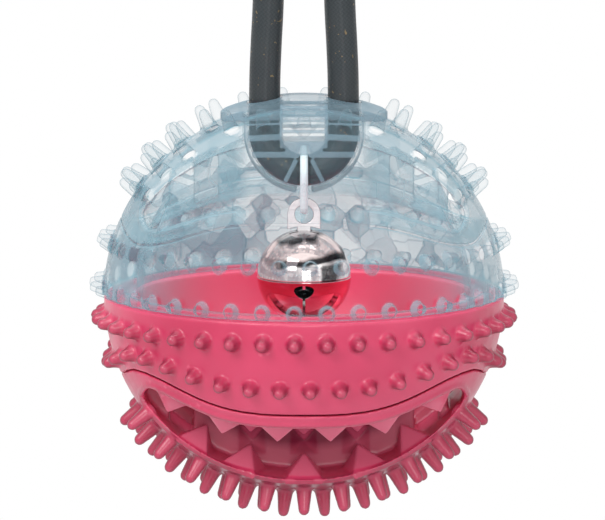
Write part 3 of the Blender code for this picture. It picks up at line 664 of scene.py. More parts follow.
def pink_rubber():
    """Satin rubber: uneven pigment and mould grain; painted highlights on ridges and painted shade
    in creases; painted shade inside the mouths and on the sides of nubs and bristles; painted light
    on the mouths' floors and teeth and on the chamber's inner wall.
    """
    made, tree = new_material("moulded_pink_rubber")
    place, centred, level = from_centre(tree)
    colour = ramp(
        noise(place, 42, detail=3, distortion=0.6),
        (0.30, (0.52, 0.026, 0.088)),
        (0.52, (0.61, 0.038, 0.114)),
        (0.72, (0.70, 0.062, 0.150)),
    )
    edge = source(tree, "NewGeometry", "Pointiness")
    # Painted highlight on ridges, then painted shade in creases, both found by pointiness
    colour = mixed(between(edge, 0, 0.38, 0.505, 0.60), colour, (0.86, 0.16, 0.26))
    colour = mixed(between(edge, 0.5, 0, 0.40, 0.495), colour, (0.30, 0.012, 0.045))

    # Inside the mouths: painted shade on the back walls and under overhangs, painted light on the
    # floors, and painted light on faces near the rim that face forwards and backwards, mostly the
    # teeth
    normal = source(tree, "NewGeometry", "Normal")
    lean = part(normal, "Z")
    below = between(part(centred, "Z"), 1, 0, -0.0170, -0.0150)
    inside = times(below, between(level, 0.85, 0, 0.78, 0.98))
    hanging = times(between(lean, 1, 0, -0.75, -0.15), between(level, 1, 0, 0.96, 0.99))
    inside = sums("MAXIMUM", inside, times(below, hanging, 0.55))
    upward = between(lean, 0, 1, 0.25, 0.6)
    # Painted light on upward faces inside the mouths
    colour = mixed(times(inside, upward), colour, (0.64, 0.100, 0.19))
    inside = times(inside, sums("SUBTRACT", 1.0, upward))
    # Painted shade on the rest of the mouths' insides, deepest at the back and under overhangs
    colour = mixed(inside, colour, (0.17, 0.012, 0.038))
    ahead = between(sums("ABSOLUTE", part(normal, "Y")), 0, 0.8, 0.2, 0.5)
    inner, outer = between(level, 0, 1, 0.79, 0.84), between(level, 1, 0, 0.995, 1.006)
    # Painted light on faces near the rim that face along Y, mostly the teeth
    colour = mixed(times(ahead, below, outer, inner), colour, (0.58, 0.105, 0.175))

    # Painted light on the chamber's inner wall, and painted shade on the sides of the nubs and
    # bristles
    lit_lining = times(between(level, 1, 0, 0.86, 0.90), sums("SUBTRACT", 1.0, below))
    colour = mixed(times(lit_lining, 0.8), colour, (0.86, 0.085, 0.185))
    facing = source(tree, "LayerWeight", "Facing")
    # Painted shade on the sides of nubs and bristles, stronger as a face turns away
    spikes = times(between(level, 0, 1, 1.0, 1.03), between(facing, 0.45, 1, 0.15, 0.7))
    colour = mixed(spikes, colour, (0.24, 0.016, 0.045))
    smear = noise(place, 260, detail=4, roughness=0.6)
    return feed(
        made,
        Base_Color=colour,
        Roughness=between(smear, 0.30, 0.44, 0.3, 0.7),
        Specular_IOR_Level=between(inside, 0.5, 0.15),
        Normal=bump(noise(place, 2400, detail=3), 0.10, 0.00006),
        Subsurface_Weight=0.10,
        Subsurface_Radius=(0.0030, 0.0008, 0.0010),
        Subsurface_Scale=1.0,
        Coat_Weight=between(inside, 0.15, 0),
        Coat_Roughness=0.18,
    )


def facets(place, normal):
    """How dense the rubber looks from patch to patch: painted light and shade by each face's tilt
    towards one fixed direction, mixed with random patches, and the patches' edges.
    """
    # Painted light and shade: denser where a face leans towards one fixed direction, fainter where
    # it leans away
    lean = after("VectorMath", {0: normal, 1: (0.72, 0.36, 0.59)}, operation="DOT_PRODUCT")
    lean = between(lean.outputs["Value"], 0, 1, -0.9, 0.9)
    cut = {"Vector": place, "Scale": 175.0, "Randomness": 0.8}
    cells = after("TexVoronoi", cut, distance="MANHATTAN")
    patch = after("SeparateColor", {"Color": cells.outputs["Color"]}).outputs["Red"]
    both = plus(times(lean, 0.5), times(patch, 0.5))
    second = after("TexVoronoi", cut, feature="F2", distance="MANHATTAN").outputs["Distance"]
    border = sums("SUBTRACT", second, cells.outputs["Distance"])
    return between(both, 0.36, 1.10, 0.25, 0.65), between(border, 0.24, 0, 0.03, 0.09)


def clear_middle(place):
    """Two shares of the density: less before the guide and the tie, less over the front half."""
    across, deep, height = (part(place, axis) for axis in "XYZ")
    over = sums("ABSOLUTE", sums("SUBTRACT", height, 0.0215))
    over = sums("MAXIMUM", sums("SUBTRACT", over, 0.0085), 0)
    out = sums("SQRT", sums("MULTIPLY_ADD", over, over, sums("POWER", across, 2)))
    middle = between(out, 0.22, 1, 0.0095, 0.0125)
    behind = between(deep, 0, 1, 0.008, 0.010)
    return between(behind, middle, 1), between(deep, 0.45, 1, -0.008, 0.008)


def less_for_light(alpha):
    """The same density, but only a share of it in the way of the lights."""
    path = node(alpha.id_data, "LightPath").outputs
    lighting = sums("MAXIMUM", path["Is Shadow Ray"], path["Is Diffuse Ray"])
    return times(alpha, between(lighting, 1, SHARE_FOR_LIGHT))


def uneven(alpha, place, scale, detail_share):
    """The same density in soft clouds."""
    cloud = noise(place, scale, detail=3, distortion=0.5)
    return times(alpha, between(cloud, 1 - detail_share, 1 + detail_share, 0.3, 0.7))


def clear_rubber():
    """Translucent rubber: faint where a wall faces out, dense on far sides, edges and nubs."""
    made, tree = new_material("moulded_clear_rubber")
    place, centred, level = from_centre(tree)
    facing = source(tree, "LayerWeight", "Facing")
    geometry = node(tree, "NewGeometry").outputs
    away = geometry["Backfacing"]
    # pattern carries painted light and shade by face tilt, for the far skin and the far walls
    pattern, border = facets(centred, geometry["Normal"])
    steep = sums("POWER", facing, 1.7)
    clear, front = clear_middle(centred)
    depth, low = part(centred, "Y"), part(centred, "Z")
    across = sums("ABSOLUTE", depth)

    # The outer skin
    base = between(low, 0.015, 0.14, 0.0120, 0.0170)
    near_skin = sums("MINIMUM", sums("MULTIPLY_ADD", steep, 1.9, base), 0.68)
    far_skin = sums("MULTIPLY_ADD", pattern, 0.80, border)
    skin = between(away, times(near_skin, clear), far_skin)

    # The walls inside
    flat = between(sums("ABSOLUTE", part(geometry["Normal"], "Z")), 1, 0.3, 0.86, 0.97)
    far_wall = sums("MULTIPLY_ADD", pattern, 0.46, times(border, 0.5))
    near_wall = sums("MULTIPLY_ADD", steep, 0.50, 0.01)
    wall = between(away, times(far_wall, flat, front), near_wall)
    web = between(across, 0.18, 0, 0.0088, 0.0094)
    wall = times(plus(wall, web), clear)

    # The nubs and bristles
    near_nub = sums("MULTIPLY_ADD", sums("POWER", facing, 2.2), 0.90, 0.03)
    ahead = between(depth, 1, 0, -0.026, -0.014)
    near_nub = sums("MAXIMUM", near_nub, times(between(level, 0.60, 0, 1.050, 1.066), ahead))
    side_nub = sums("MULTIPLY_ADD", sums("POWER", facing, 2.5), 0.45, 0.11)
    far_nub = sums("MULTIPLY_ADD", facing, 0.35, 0.45)
    far_nub = between(between(across, 0, 1, 0.021, 0.025), side_nub, far_nub)
    far_nub = between(between(low, 0, 1, 0.0160, 0.0180), far_nub, side_nub)
    nub = between(away, near_nub, far_nub)

    ridge = between(geometry["Pointiness"], 0, 0.28, 0.53, 0.60)
    alpha = between(between(level, 0, 1, 0.975, 0.988), wall, skin)
    alpha = plus(alpha, times(ridge, clear))
    alpha = between(between(level, 0, 1, 1.008, 1.016), alpha, nub)
    colour = mixed(facing, (0.23, 0.37, 0.43), (0.21, 0.33, 0.39))
    return feed(
        made,
        Base_Color=mixed(away, colour, (0.145, 0.34, 0.41)),
        Roughness=between(noise(place, 300, detail=4), 0.18, 0.30, 0.3, 0.7),
        Normal=bump(noise(place, 1500, detail=3), 0.06, 0.00005),
        Alpha=less_for_light(uneven(alpha, place, 55, 0.15)),
        IOR=1.45,
    )


def clear_insert(name, broad, steep):
    """The guide's clear rubber, by how dense its broad and its steep faces are."""
    made, tree = new_material(name)
    place, centred, _ = from_centre(tree)
    facing = source(tree, "LayerWeight", "Facing")
    alpha = sums("MULTIPLY_ADD", sums("POWER", facing, 3), steep, broad)
    height = part(centred, "Z")
    alpha = plus(alpha, between(height, 0, 0.16, 0.0310, 0.0335))
    under = sums("MAXIMUM", sums("SUBTRACT", BEND_CENTRE_Z, height), 0)
    out = sums("MULTIPLY_ADD", under, under, sums("POWER", part(centred, "X"), 2))
    rim = ROPE_SPREAD + BORE_RADIUS
    alpha = plus(alpha, between(sums("SQRT", out), 0, 0.30, rim, rim + 0.0002))
    return feed(
        made,
        Base_Color=mixed(facing, (0.23, 0.345, 0.41), (0.19, 0.29, 0.35)),
        Roughness=between(noise(place, 300, detail=4), 0.36, 0.50, 0.3, 0.7),
        Specular_IOR_Level=0.2,
        Normal=bump(noise(place, 1500, detail=3), 0.06, 0.00005),
        Alpha=less_for_light(uneven(alpha, place, 120, 0.2)),
        IOR=1.45,
    )


def braid(tree, strands):
    """The height of a diamond braid, by the tube's own UVs."""
    uv = node(tree, "UVMap", uv_map=UV_NAME).outputs["UV"]
    along, around = (times(part(uv, axis), strands) for axis in "XY")
    ways = plus(along, around), sums("SUBTRACT", along, around)
    hills = [sums("SINE", times(sums("FRACT", way), pi)) for way in ways]
    cells = plus(*(sums("FLOOR", way) for way in ways))
    over = sums("GREATER_THAN", sums("FRACT", times(cells, 0.5)), 0.25)
    return plus(times(hills[0], over), times(hills[1], sums("SUBTRACT", 1.0, over)))


def grey_rope():
    """A fine braided sheath of dark slate yarn with a few brown strands, and painted shade in the
    grooves between strands.
    """
    made, tree = new_material("braided_grey_rope")
    height = braid(tree, 22)
    place = source(tree, "TexCoord", "Object")
    yarn = noise(place, 5200, detail=2)
    # Painted shade in the braid's grooves, lighter towards the strands' crests
    tone = ramp(
        height,
        (0.05, (0.020, 0.024, 0.027)),
        (0.55, (0.027, 0.034, 0.038)),
        (1.0, (0.034, 0.042, 0.046)),
    )
    drift = noise(place, 130, detail=3)
    tone = mixed(between(drift, 0, 0.4, 0.42, 0.7), tone, (0.042, 0.047, 0.048))
    fleck = between(noise(place, 1300, detail=1), 0, 0.7, 0.70, 0.74)
    return feed(
        made,
        Base_Color=mixed(fleck, tone, (0.24, 0.17, 0.08)),
        Roughness=between(yarn, 0.34, 0.50, 0.3, 0.7),
        Normal=bump(plus(height, times(yarn, 0.35)), 0.40, 0.00005),
        Specular_IOR_Level=0.28,
    )


def white_cord():
    """A smooth bluish white cord with a very fine lengthwise grain."""
    made, tree = new_material("white_cord")
    uv = node(tree, "UVMap", uv_map=UV_NAME).outputs["UV"]
    stretched = after("Mapping", {"Vector": uv, "Scale": (2.0, 24.0, 1.0)}).outputs[0]
    grain = noise(stretched, 1.5, detail=3)
    fibre = noise(source(tree, "TexCoord", "Object"), 5000, detail=2)
    return feed(
        made,
        Base_Color=ramp(grain, (0.3, (0.74, 0.90, 0.94)), (0.6, (0.84, 0.97, 1.0))),
        Roughness=between(fibre, 0.35, 0.55, 0.3, 0.7),
        Normal=bump(plus(grain, times(fibre, 0.2)), 0.15, 0.00005),
    )


def smears(place):
    return noise(place, 180, detail=4, roughness=0.65, distortion=0.8)


def chrome(name, roughness, tint, metallic=1.0, rim=0.0):
    """Bright plating with faint smears and polishing marks, and a painted dark reflection on the
    edges of a flat piece.
    """
    made, tree = new_material(name)
    place = source(tree, "TexCoord", "Object")
    smear = smears(place)
    duller = tuple(0.88 * c for c in tint)
    colour = mixed(between(smear, 0, 1, 0.35, 0.65), duller, tint)
    # Painted dark reddish reflection on the edges of a flat piece, as strong as rim
    across = sums("ABSOLUTE", part(source(tree, "NewGeometry", "True Normal"), "Y"))
    colour = mixed(between(across, rim, 0, 0.55, 0.93), colour, (0.16, 0.055, 0.065))
    relief = plus(noise(place, 90, detail=1), times(noise(place, 3200, detail=2), 0.02))
    return feed(
        made,
        Base_Color=colour,
        Metallic=metallic,
        Roughness=between(smear, roughness, 2.2 * roughness, 0.35, 0.7),
        Normal=bump(relief, 0.10, 0.0004),
    )


def bell_chrome():
    """The bell's plating: painted reflections in broad smeared bands of white, dark and rose, a
    painted reflection of the pink rubber on the lower cup, and painted shade inside.
    """
    made, tree = new_material("bell_chrome")
    place = source(tree, "TexCoord", "Object")
    from_bell = {0: place, 1: (0, 0, HANG - BELL_CENTRE_Z)}
    about = after("VectorMath", from_bell, operation="ADD").outputs[0]
    distance = after("VectorMath", {0: about}, operation="LENGTH").outputs["Value"]
    drift = between(noise(place, 110, detail=2, distortion=0.8), -0.07, 0.07, 0.3, 0.7)
    height = between(part(about, "Z"), 0, 1, -BELL_RADIUS, BELL_RADIUS)
    # Painted reflections: white, dark and rosy bands by height on the bell
    tone = ramp(
        plus(height, drift),
        (0.60, (1.0, 0.97, 0.96)),
        (0.67, (0.97, 0.92, 0.91)),
        (0.70, (0.022, 0.020, 0.023)),
        (0.745, (0.035, 0.028, 0.030)),
        (0.79, (0.97, 0.82, 0.80)),
        (0.90, (0.90, 0.76, 0.74)),
        (0.95, (0.07, 0.065, 0.07)),
        (1.00, (0.50, 0.48, 0.48)),
    )
    # A painted dark reflection on the right of the upper cup, and a painted rosy one on the left
    across = plus(part(about, "X"), times(drift, 0.012))
    right = times(between(across, 0, 1, 0.0028, 0.0033), between(across, 1, 0, 0.0058, 0.0068))
    right = times(right, between(height, 0.9, 0, 0.66, 0.70))
    tone = mixed(right, tone, (0.020, 0.019, 0.022))
    left = between(across, 1, 0, -0.0048, -0.0034)
    tone = mixed(times(left, 0.7), tone, (0.90, 0.72, 0.70))

    # The lower cup gets a painted reflection of the pink rubber round it, with painted white
    # streaks
    low = between(part(about, "Z"), 1, 0, -0.0002, 0.0)
    streak = noise(after("Mapping", {"Vector": about, "Scale": (1, 1, 2.4)}).outputs[0], 210)
    painted_pink_reflection = ramp(
        streak,
        (0.40, (0.90, 0.32, 0.38)),
        (0.60, (1.0, 0.46, 0.53)),
        (0.68, (1.0, 0.9, 0.9)),
    )
    tone = mixed(low, tone, painted_pink_reflection)
    # Painted shade on the bell's inner face
    inner = between(distance, 1, 0, BELL_RADIUS - BELL_WALL, BELL_RADIUS - BELL_WALL / 2)
    smear = smears(place)
    relief = sums("MULTIPLY_ADD", noise(place, 3200, detail=2), 0.02, smear)
    return feed(
        made,
        Base_Color=mixed(inner, tone, (0.012, 0.008, 0.008)),
        Metallic=between(low, 0.78, 1),
        Roughness=between(smear, 0.05, 0.12, 0.35, 0.7),
        Normal=bump(relief, 0.05, 0.0002),
    )


def pale_table():
    made, tree = new_material("pale_table")
    place = source(tree, "TexCoord", "Object")
    cloud = noise(place, 9, detail=3)
    return feed(
        made,
        Base_Color=ramp(cloud, (0.3, (0.80, 0.80, 0.80)), (0.7, (0.84, 0.84, 0.84))),
        Roughness=0.6,
        Normal=bump(noise(place, 700), 0.05, 0.0001),
    )


def cord_line():
    """The free rope's own line, from its left exit over the top to its right one."""
    left = [Vector((x, 0, ROPE_EXIT_Z + rise)) for x, rise in ROPE_HALF_ROUTE]
    right = [Vector((-p.x, 0, p.z)) for p in reversed(left[:-1])]
    line = smooth_line(left + right, 2)
    line.insert(1, line[0] + Vector((0, 0, ROPE_RADIUS / 2)))
    line.insert(-1, line[-1] + Vector((0, 0, ROPE_RADIUS / 2)))
    return line


def rope():
    finish = grey_rope()
    coarse = cord_line()
    line = evened(smooth_line(coarse, 3), 0.0010, cyclic=False)
    free = tube("rope", line, ROPE_RADIUS, ROPE_SIDES)
    free = piece("rope", free, finish, "ball", "grey_rope", "rope_loop")
    held = bend_line(ROPE_EXIT_Z - END_GAP)
    held = tube("rope_in_guide", held, ROPE_RADIUS, ROPE_SIDES)
    piece("rope_in_guide", held, finish, "ball", "grey_rope", "rope_bend")


def bend_line(top):
    """The rope's line in the guide: down from a height, round the bend and up again."""
    bend = round_line(-ROPE_SPREAD, BEND_CENTRE_Z, evenly(0, pi, 40))
    line = [(-ROPE_SPREAD, top), *bend, (ROPE_SPREAD, top)]
    return evened([Vector((x, 0, z)) for x, z in line], 0.0006, cyclic=False)


def band_mesh(name, height, tongue_side, nub, places):
    """The rubber ring beside the seam, with its nubs, made as the lower half's."""
    bottom, seam = PARTING_SHARE * height + OVERRUN, -FIT_GAP / 2
    outer = arc(BALL_RADIUS, height, 0, asin(bottom / height), 24)
    inner = arc(BALL_RADIUS - WALL, height - WALL, asin(bottom / (height - WALL)), 0, 20)
    outer[0] = (outer[0][0], seam)
    inner[-1] = (inner[-1][0], seam)
    half = TONGUE_THICKNESS / 2 + (0 if tongue_side > 0 else FIT_GAP)
    rim = tongue_side * (TONGUE_HEIGHT - FIT_GAP / 2) - (FIT_GAP if tongue_side < 0 else 0)
    near, far = BALL_RADIUS - WALL / 2 - half, BALL_RADIUS - WALL / 2 + half
    tongue = [(near, seam), (near, rim), (far, rim), (far, seam)]
    ring = lathe(name, outer + inner + tongue, ROUND_STEPS, closed=True)
    ring = cut(name, ring, parting_cutter(height, FIT_GAP / 2, -height))
    return moulded(name, [ring, copies(nub, places)], SHARE_KEPT)


def floor_point(height, x, y):
    shrink = FLOOR_RISE * (MOUTH_RIM_Y - y)
    depth, span = MOUTH_FLOOR_SHARE * height - shrink, MOUTH_FLOOR_SPAN - shrink
    point = Vector((x, -y, -depth * sqrt(1 - (x / span) ** 2)))
    normal = Vector((-x / span**2, 0, -point.z / depth**2)).normalized()
    return point, (normal - Vector((0, FLOOR_RISE, 0))).normalized()


def floor_teeth(height, across, side):
    places = []
    for x in across:
        rim, _ = floor_point(height, x, MOUTH_RIM_Y)
        y = reach(height, x, rim.z) - side / 2 - FLOOR_TOOTH_MARGIN
        point, up = floor_point(height, x, y)
        places.append(stood_on(point, up))
    return places


def roof_teeth(height):
    step = TOOTH_SIDE / 2
    places = []
    for row, steps in enumerate(((-2.5, -1.5, -0.5, 0.5, 1.5, 2.5), (-1, 0, 1))):
        for k in steps:
            x = k * ROOF_TOOTH_PITCH
            left, right = parting(height, x - step), parting(height, x + step)
            rise, level = right - left, (left + right) / 2 - LIP
            y = reach(height, x, level) - ROOF_TOOTH_INSET - row * ROOF_ROW_PITCH
            down = Vector((rise, 0, -2 * step)).normalized()
            places.append(stood_on(Vector((x, -y, level)), down))
    return places


def back_teeth(height):
    floor, _ = floor_point(height, 0, POCKET_BACK_Y)
    middle = (floor.z - PARTING_SHARE * height - LIP) / 2
    return [
        stood_on(Vector((k * ROOF_TOOTH_PITCH, -POCKET_BACK_Y, middle)), Vector((0, -1, 0)))
        for k in (-1, 0, 1)
    ]


def strip_places(height, start, step, row_shift):
    places = []
    for row in (-2, -1, 0, 1, 2):
        y = row * BRISTLE_ROW_PITCH
        angle = start + (row_shift * step if row % 2 else 0)
        while angle <= STRIP_END:
            x = sqrt(BALL_RADIUS**2 - y**2) * sin(angle)
            places.append(skin_place(x, y, height))
            if angle > 0:
                places.append(skin_place(-x, y, height))
            angle += step
    return places


def ring_places(height):
    """Places of the bristles round the guide's pad."""
    half_length, half_width = PAD_HALF_LENGTH + RING_BESIDE, PAD_HALF_WIDTH + RING_AHEAD
    return [
        skin_place(half_length * sin(t), half_width * cos(t), height)
        for t in evenly(0, 2 * pi, RING_COUNT)[:-1]
    ]


def passage_cutter(height, side, start, end, front, back):
    across = evenly(start, end, 12)
    roof = [(side * x, parting(height, x) - LIP) for x in across]
    floor = [(side * x, floor_point(height, x, POCKET_BACK_Y)[0].z) for x in reversed(across)]
    return loft("passage", roof + floor, front, roof + floor, back)


def cap_mesh(name, height, bristles, *slots):
    """The cap beyond the wavy line, with its two mouths, made as the lower half's."""
    start = asin(PARTING_SHARE - RISE_SHARE - OVERRUN / height)
    skin = arc(BALL_RADIUS, height, start, pi / 2, 40)
    skin[-1] = (0, -height)
    cap = lathe(name, [(0, skin[0][1])] + skin, ROUND_STEPS)
    half, width = TROUGH_HALF_WIDTH, BALL_RADIUS - WALL
    trough = lathe("trough", [(0, -half), (width, -half), (width, half), (0, half)], 96)
    trough.transform(Matrix.Diagonal((1, 1, (height - TROUGH_FLOOR) / width, 1)) @ FACING_Y)
    outside = BALL_RADIUS + OVERRUN
    back, front = mouth_outline(height, POCKET_BACK_Y), mouth_outline(height, outside)
    pocket = loft("mouth", back, -POCKET_BACK_Y, front, -outside)
    hollows = [parting_cutter(height, -FIT_GAP / 2, 0), trough, pocket, moved(pocket, BEHIND)]
    ways = [passage_cutter(height, side, *way) for sides, *way in WAYS for side in sides]
    cap = cut(name, cap, *hollows, *ways, *slots)
    room = (MOUTH_FLOOR_SHARE - PARTING_SHARE) * height - LIP
    large = floor_teeth(height, FLOOR_TOOTH_PLACES, FLOOR_TOOTH_SIDE)
    small = floor_teeth(height, END_TOOTH_PLACES, TOOTH_SIDE)
    teeth = (
        (FLOOR_TOOTH_SIDE, FLOOR_TOOTH_SHARE * room, large),
        (TOOTH_SIDE, FLOOR_TOOTH_SHARE * room, small),
        (TOOTH_SIDE, ROOF_TOOTH_SHARE * room, roof_teeth(height)),
        (BACK_TOOTH_SIDE, BACK_TOOTH_HEIGHT, back_teeth(height)),
    )
    parts = [copies(pyramid(side, rise), places) for side, rise, places in teeth]
    parts.append(tube("bead", rim_line(height), BEAD_RADIUS, 10, cyclic=True))
    parts += [moved(part, BEHIND) for part in parts]
    return moulded(name, [cap, *parts, bristles], CAP_SHARE_KEPT)


def lower_half(finish):
    far = LOWER_FAR_ROW_SHARE
    places = row_places(LOWER_HEIGHT, lambda x: -far * parting(LOWER_HEIGHT, x), NUB_SHIFT)
    places += row_places(LOWER_HEIGHT, lambda x: LOWER_NEAR_ROW, NUB_SHIFT + 0.5)
    ring = band_mesh("lower_band", LOWER_HEIGHT, 1, finger(*LOWER_NUB), places)
    piece("lower_band", ring, finish, "ball", "pink_rubber", "lower_shell")
    bristles = copies(finger(*LOWER_BRISTLE), strip_places(LOWER_HEIGHT, *LOWER_STRIP))
    cap = cap_mesh("lower_cap", LOWER_HEIGHT, bristles)
    piece("lower_cap", cap, finish, "ball", "pink_rubber", "lower_jaw")


def guide_outline(margin, crown):
    """The U of the guide's body, seen from the front, under an oval crown."""
    radius = ROPE_SPREAD + GUIDE_HALF_THICKNESS + margin
    bottom = round_line(-radius, BEND_CENTRE_Z, evenly(0, pi, 48))
    top = [(-x, crown * sqrt(1 - (x / BALL_RADIUS) ** 2)) for x in spread(radius, 24)]
    return bottom + top


def upper_half(finish):
    places = row_places(UPPER_HEIGHT, lambda x: UPPER_NEAR_ROW, -NUB_SHIFT - 0.5)
    places += row_places(UPPER_HEIGHT, lambda x: UPPER_FAR_ROW, -NUB_SHIFT)
    nub = moved(finger(*UPPER_NUB), Matrix.Rotation(UPPER_NUB_TILT, 4, "X"))
    ring = band_mesh("upper_band", UPPER_HEIGHT, -1, nub, places)
    ring.transform(UPSIDE_DOWN)
    piece("upper_band", ring, finish, "ball", "clear_rubber", "upper_shell")
    places = strip_places(UPPER_HEIGHT, *UPPER_STRIP) + ring_places(UPPER_HEIGHT)
    bristles = copies(finger(*UPPER_BRISTLE), places)
    outline = guide_outline(FIT_GAP, UPPER_HEIGHT + OVERRUN)
    slot = moved(prism("slot", outline, GUIDE_HALF_THICKNESS + FIT_GAP), UPSIDE_DOWN)
    cap = cap_mesh("upper_cap", UPPER_HEIGHT, bristles, slot)
    cap.transform(UPSIDE_DOWN)
    piece("upper_cap", cap, finish, "ball", "clear_rubber", "upper_jaw")


def dome(height, radius):
    """A round cap of the upper skin, with a flat underside."""
    points = arc(radius, -height, 0, pi / 2, 40)
    points[-1] = (0, height)
    return lathe("dome", [(0, 0), *points], 128)


def bar(start, end, width):
    """A straight bar between two (x, z) points, as an outline."""
    a, b = Vector(start), Vector(end)
    aside = (b - a).normalized().orthogonal() * width / 2
    return [tuple(p) for p in (a - aside, b - aside, b + aside, a + aside)]


def guide_ribs():
    """The raised frame and bars on the guide's front and back, as (x, z) outlines."""
    left, right = -0.0041, 0.0040
    block = [(left, 0.0280), (right, 0.0280), (right, 0.0271), (0.0030, 0.0263)]
    block += [(-0.0030, 0.0263), (left, 0.0271)]
    levels = ((0.0341, 0.0006), (0.0317, 0.0004), (0.0298, 0.0006))
    lines = [((left, z), (right, z), width) for z, width in levels]
    lines += [((x, 0.0347), (x, 0.0268), 0.0005) for x in (left, right)]
    # The wide bar is thinner in its middle, where the tie passes
    lines += [
        ((-0.0093, 0.0256), (-0.0009, 0.0256), 0.0011),
        ((0.0009, 0.0256), (0.0092, 0.0256), 0.0011),
        ((-0.0011, 0.0258), (0.0011, 0.0258), 0.0006),
    ]
    for side in (-1, 1):
        lines += [
            ((side * 0.0040, 0.0288), (side * 0.0101, 0.0285), 0.0011),
            ((side * 0.0014, 0.0247), (side * 0.0034, 0.0207), 0.0008),
            ((side * 0.0040, 0.0312), (side * 0.0103, 0.0310), 0.0004),
        ]
    return [block] + [bar(*line) for line in lines]


def ribs(finish):
    """The guide's frame and bars as one thin moulding on each face."""
    shapes = [prism("rib", outline, RIB_HALF_DEPTH) for outline in guide_ribs()]
    thin = moulded("ribs", shapes, SHARE_KEPT, rounds=2, voxel=RIB_VOXEL)
    place = GUIDE_HALF_THICKNESS - RIB_INSET
    both = [moved(thin, Matrix.Translation((0, side * place, 0))) for side in (-1, 1)]
    mesh = together("guide_ribs", both)
    mesh.shade_smooth()
    piece("guide_ribs", mesh, finish, "ball", "clear_rubber")


def guide(finish):
    """The moulded insert: an oval pad on top, and a slab with the rope's bend through it."""
    pad = dome(UPPER_HEIGHT + PAD_THICKNESS, BALL_RADIUS + PAD_THICKNESS)
    under = dome(UPPER_HEIGHT + FIT_GAP, BALL_RADIUS + FIT_GAP)
    under.transform(Matrix.Translation((0, 0, -0.0001)))
    column = lathe("column", [(0, 0.02), (1, 0.02), (1, 0.06), (0, 0.06)], 96)
    column.transform(Matrix.Diagonal((PAD_HALF_LENGTH, PAD_HALF_WIDTH, 1, 1)))
    crown = UPPER_HEIGHT + PAD_THICKNESS / 2
    slab = prism("slab", guide_outline(0, crown), GUIDE_HALF_THICKNESS)
    bore = tube("bore", bend_line(UPPER_HEIGHT + PAD_THICKNESS + OVERRUN), BORE_RADIUS, 36)
    radius = TIE_UPPER_TURN + TIE_RADIUS + FIT_GAP
    arch = round_line(radius, BEND_BOTTOM_Z, evenly(0, pi, 40))
    low = BEND_BOTTOM_Z - ROPE_SPREAD
    window = prism("window", [(radius, low), *arch, (-radius, low)], TIE_RADIUS + 2 * FIT_GAP)
    window.transform(Matrix.Rotation(pi / 2, 4, "Z"))
    mesh = worked("guide", pad, ("INTERSECT", column), ("DIFFERENCE", under), ("UNION", slab))
    mesh = moulded("guide", [cut("guide", mesh, bore, window)], SHARE_KEPT, rounds=2)
    piece("guide", mesh, finish, "ball", "clear_rubber", "rope_guide")


def tie_line():
    drop = BEND_BOTTOM_Z - TIE_LOWER_TURN_Z
    lean = asin((TIE_UPPER_TURN - TIE_LOWER_TURN) / drop)
    upper = evenly(-lean, pi + lean, 24)
    lower = evenly(pi + lean, 2 * pi - lean, 24)
    line = round_line(TIE_UPPER_TURN, BEND_BOTTOM_Z, upper)
    line += round_line(TIE_LOWER_TURN, TIE_LOWER_TURN_Z, lower)
    return [(0, y, z) for y, z in line]


def tie():
    girth = 2 * pi * TIE_RADIUS

    def strands(turn, along):
        lay = 3 * (turn / (2 * pi) + along / girth)
        return STRAND_DEPTH * (abs(sin(pi * lay)) - 1)

    line = evened(tie_line(), 0.00025, cyclic=True)
    cord = tube("tie", line, TIE_RADIUS, 30, cyclic=True, relief=strands)
    piece("tie", cord, white_cord(), "tie", "white_cord", "bell_tie")


def cup(name, upside_down):
    """Half of the bell's shell, with a rolled edge at the seam."""
    start = asin(FIT_GAP / 2 / BELL_RADIUS)
    inner_radius = BELL_RADIUS - BELL_WALL
    outer = arc(BELL_RADIUS, BELL_RADIUS, 0.052, pi / 2, 40)
    inner = arc(inner_radius, inner_radius, pi / 2, start, 30)
    outer[-1] = (0, outer[-1][1])
    inner[0] = (0, inner[0][1])
    edge = [
        (BELL_RADIUS - 0.00005, -0.00004),
        (BELL_RADIUS - 0.00001, -0.00007),
        (BELL_RADIUS + 0.00001, -0.00017),
        (BELL_RADIUS, -0.00029),
    ]
    mesh = lathe(name, inner + edge + outer, 128)
    if upside_down:
        mesh.transform(UPSIDE_DOWN)
    mesh.transform(Matrix.Translation((0, 0, BELL_CENTRE_Z)))
    return mesh


def heart_hole():
    """A rounded triangle, wide side up, in front of the bell's lower cup."""
    outline = []
    for t in evenly(0, 2 * pi, 36)[:-1]:
        wide = HOLE_SIZE * (1 + 0.34 * sin(t))
        outline.append((wide * cos(t), HOLE_Z + 0.72 * HOLE_SIZE * sin(t)))
    return loft("heart", outline, -BELL_RADIUS - OVERRUN, outline, -BELL_RADIUS / 3)


def rectangle(half, low, high):
    return [(-half, low), (half, low), (half, high), (-half, high)]


def pellet(finish):
    """The loose ball in the bell, with a faint ridge round its middle."""
    profile = []
    for i, a in enumerate(evenly(pi / 2, -pi / 2, 24)):
        out = PELLET_RADIUS + (PELLET_RIDGE if i == 12 else 0)
        profile.append((out * cos(a) if 0 < i < 24 else 0, out * sin(a)))
    mesh = lathe("pellet", profile, 40)
    mesh.shade_smooth()
    drop = BELL_RADIUS - BELL_WALL - FIT_GAP - PELLET_RADIUS
    mesh.transform(Matrix.Translation((0, 0, BELL_CENTRE_Z - drop)))
    piece("pellet", mesh, finish, "pellet", "chrome", "bell_pellet")


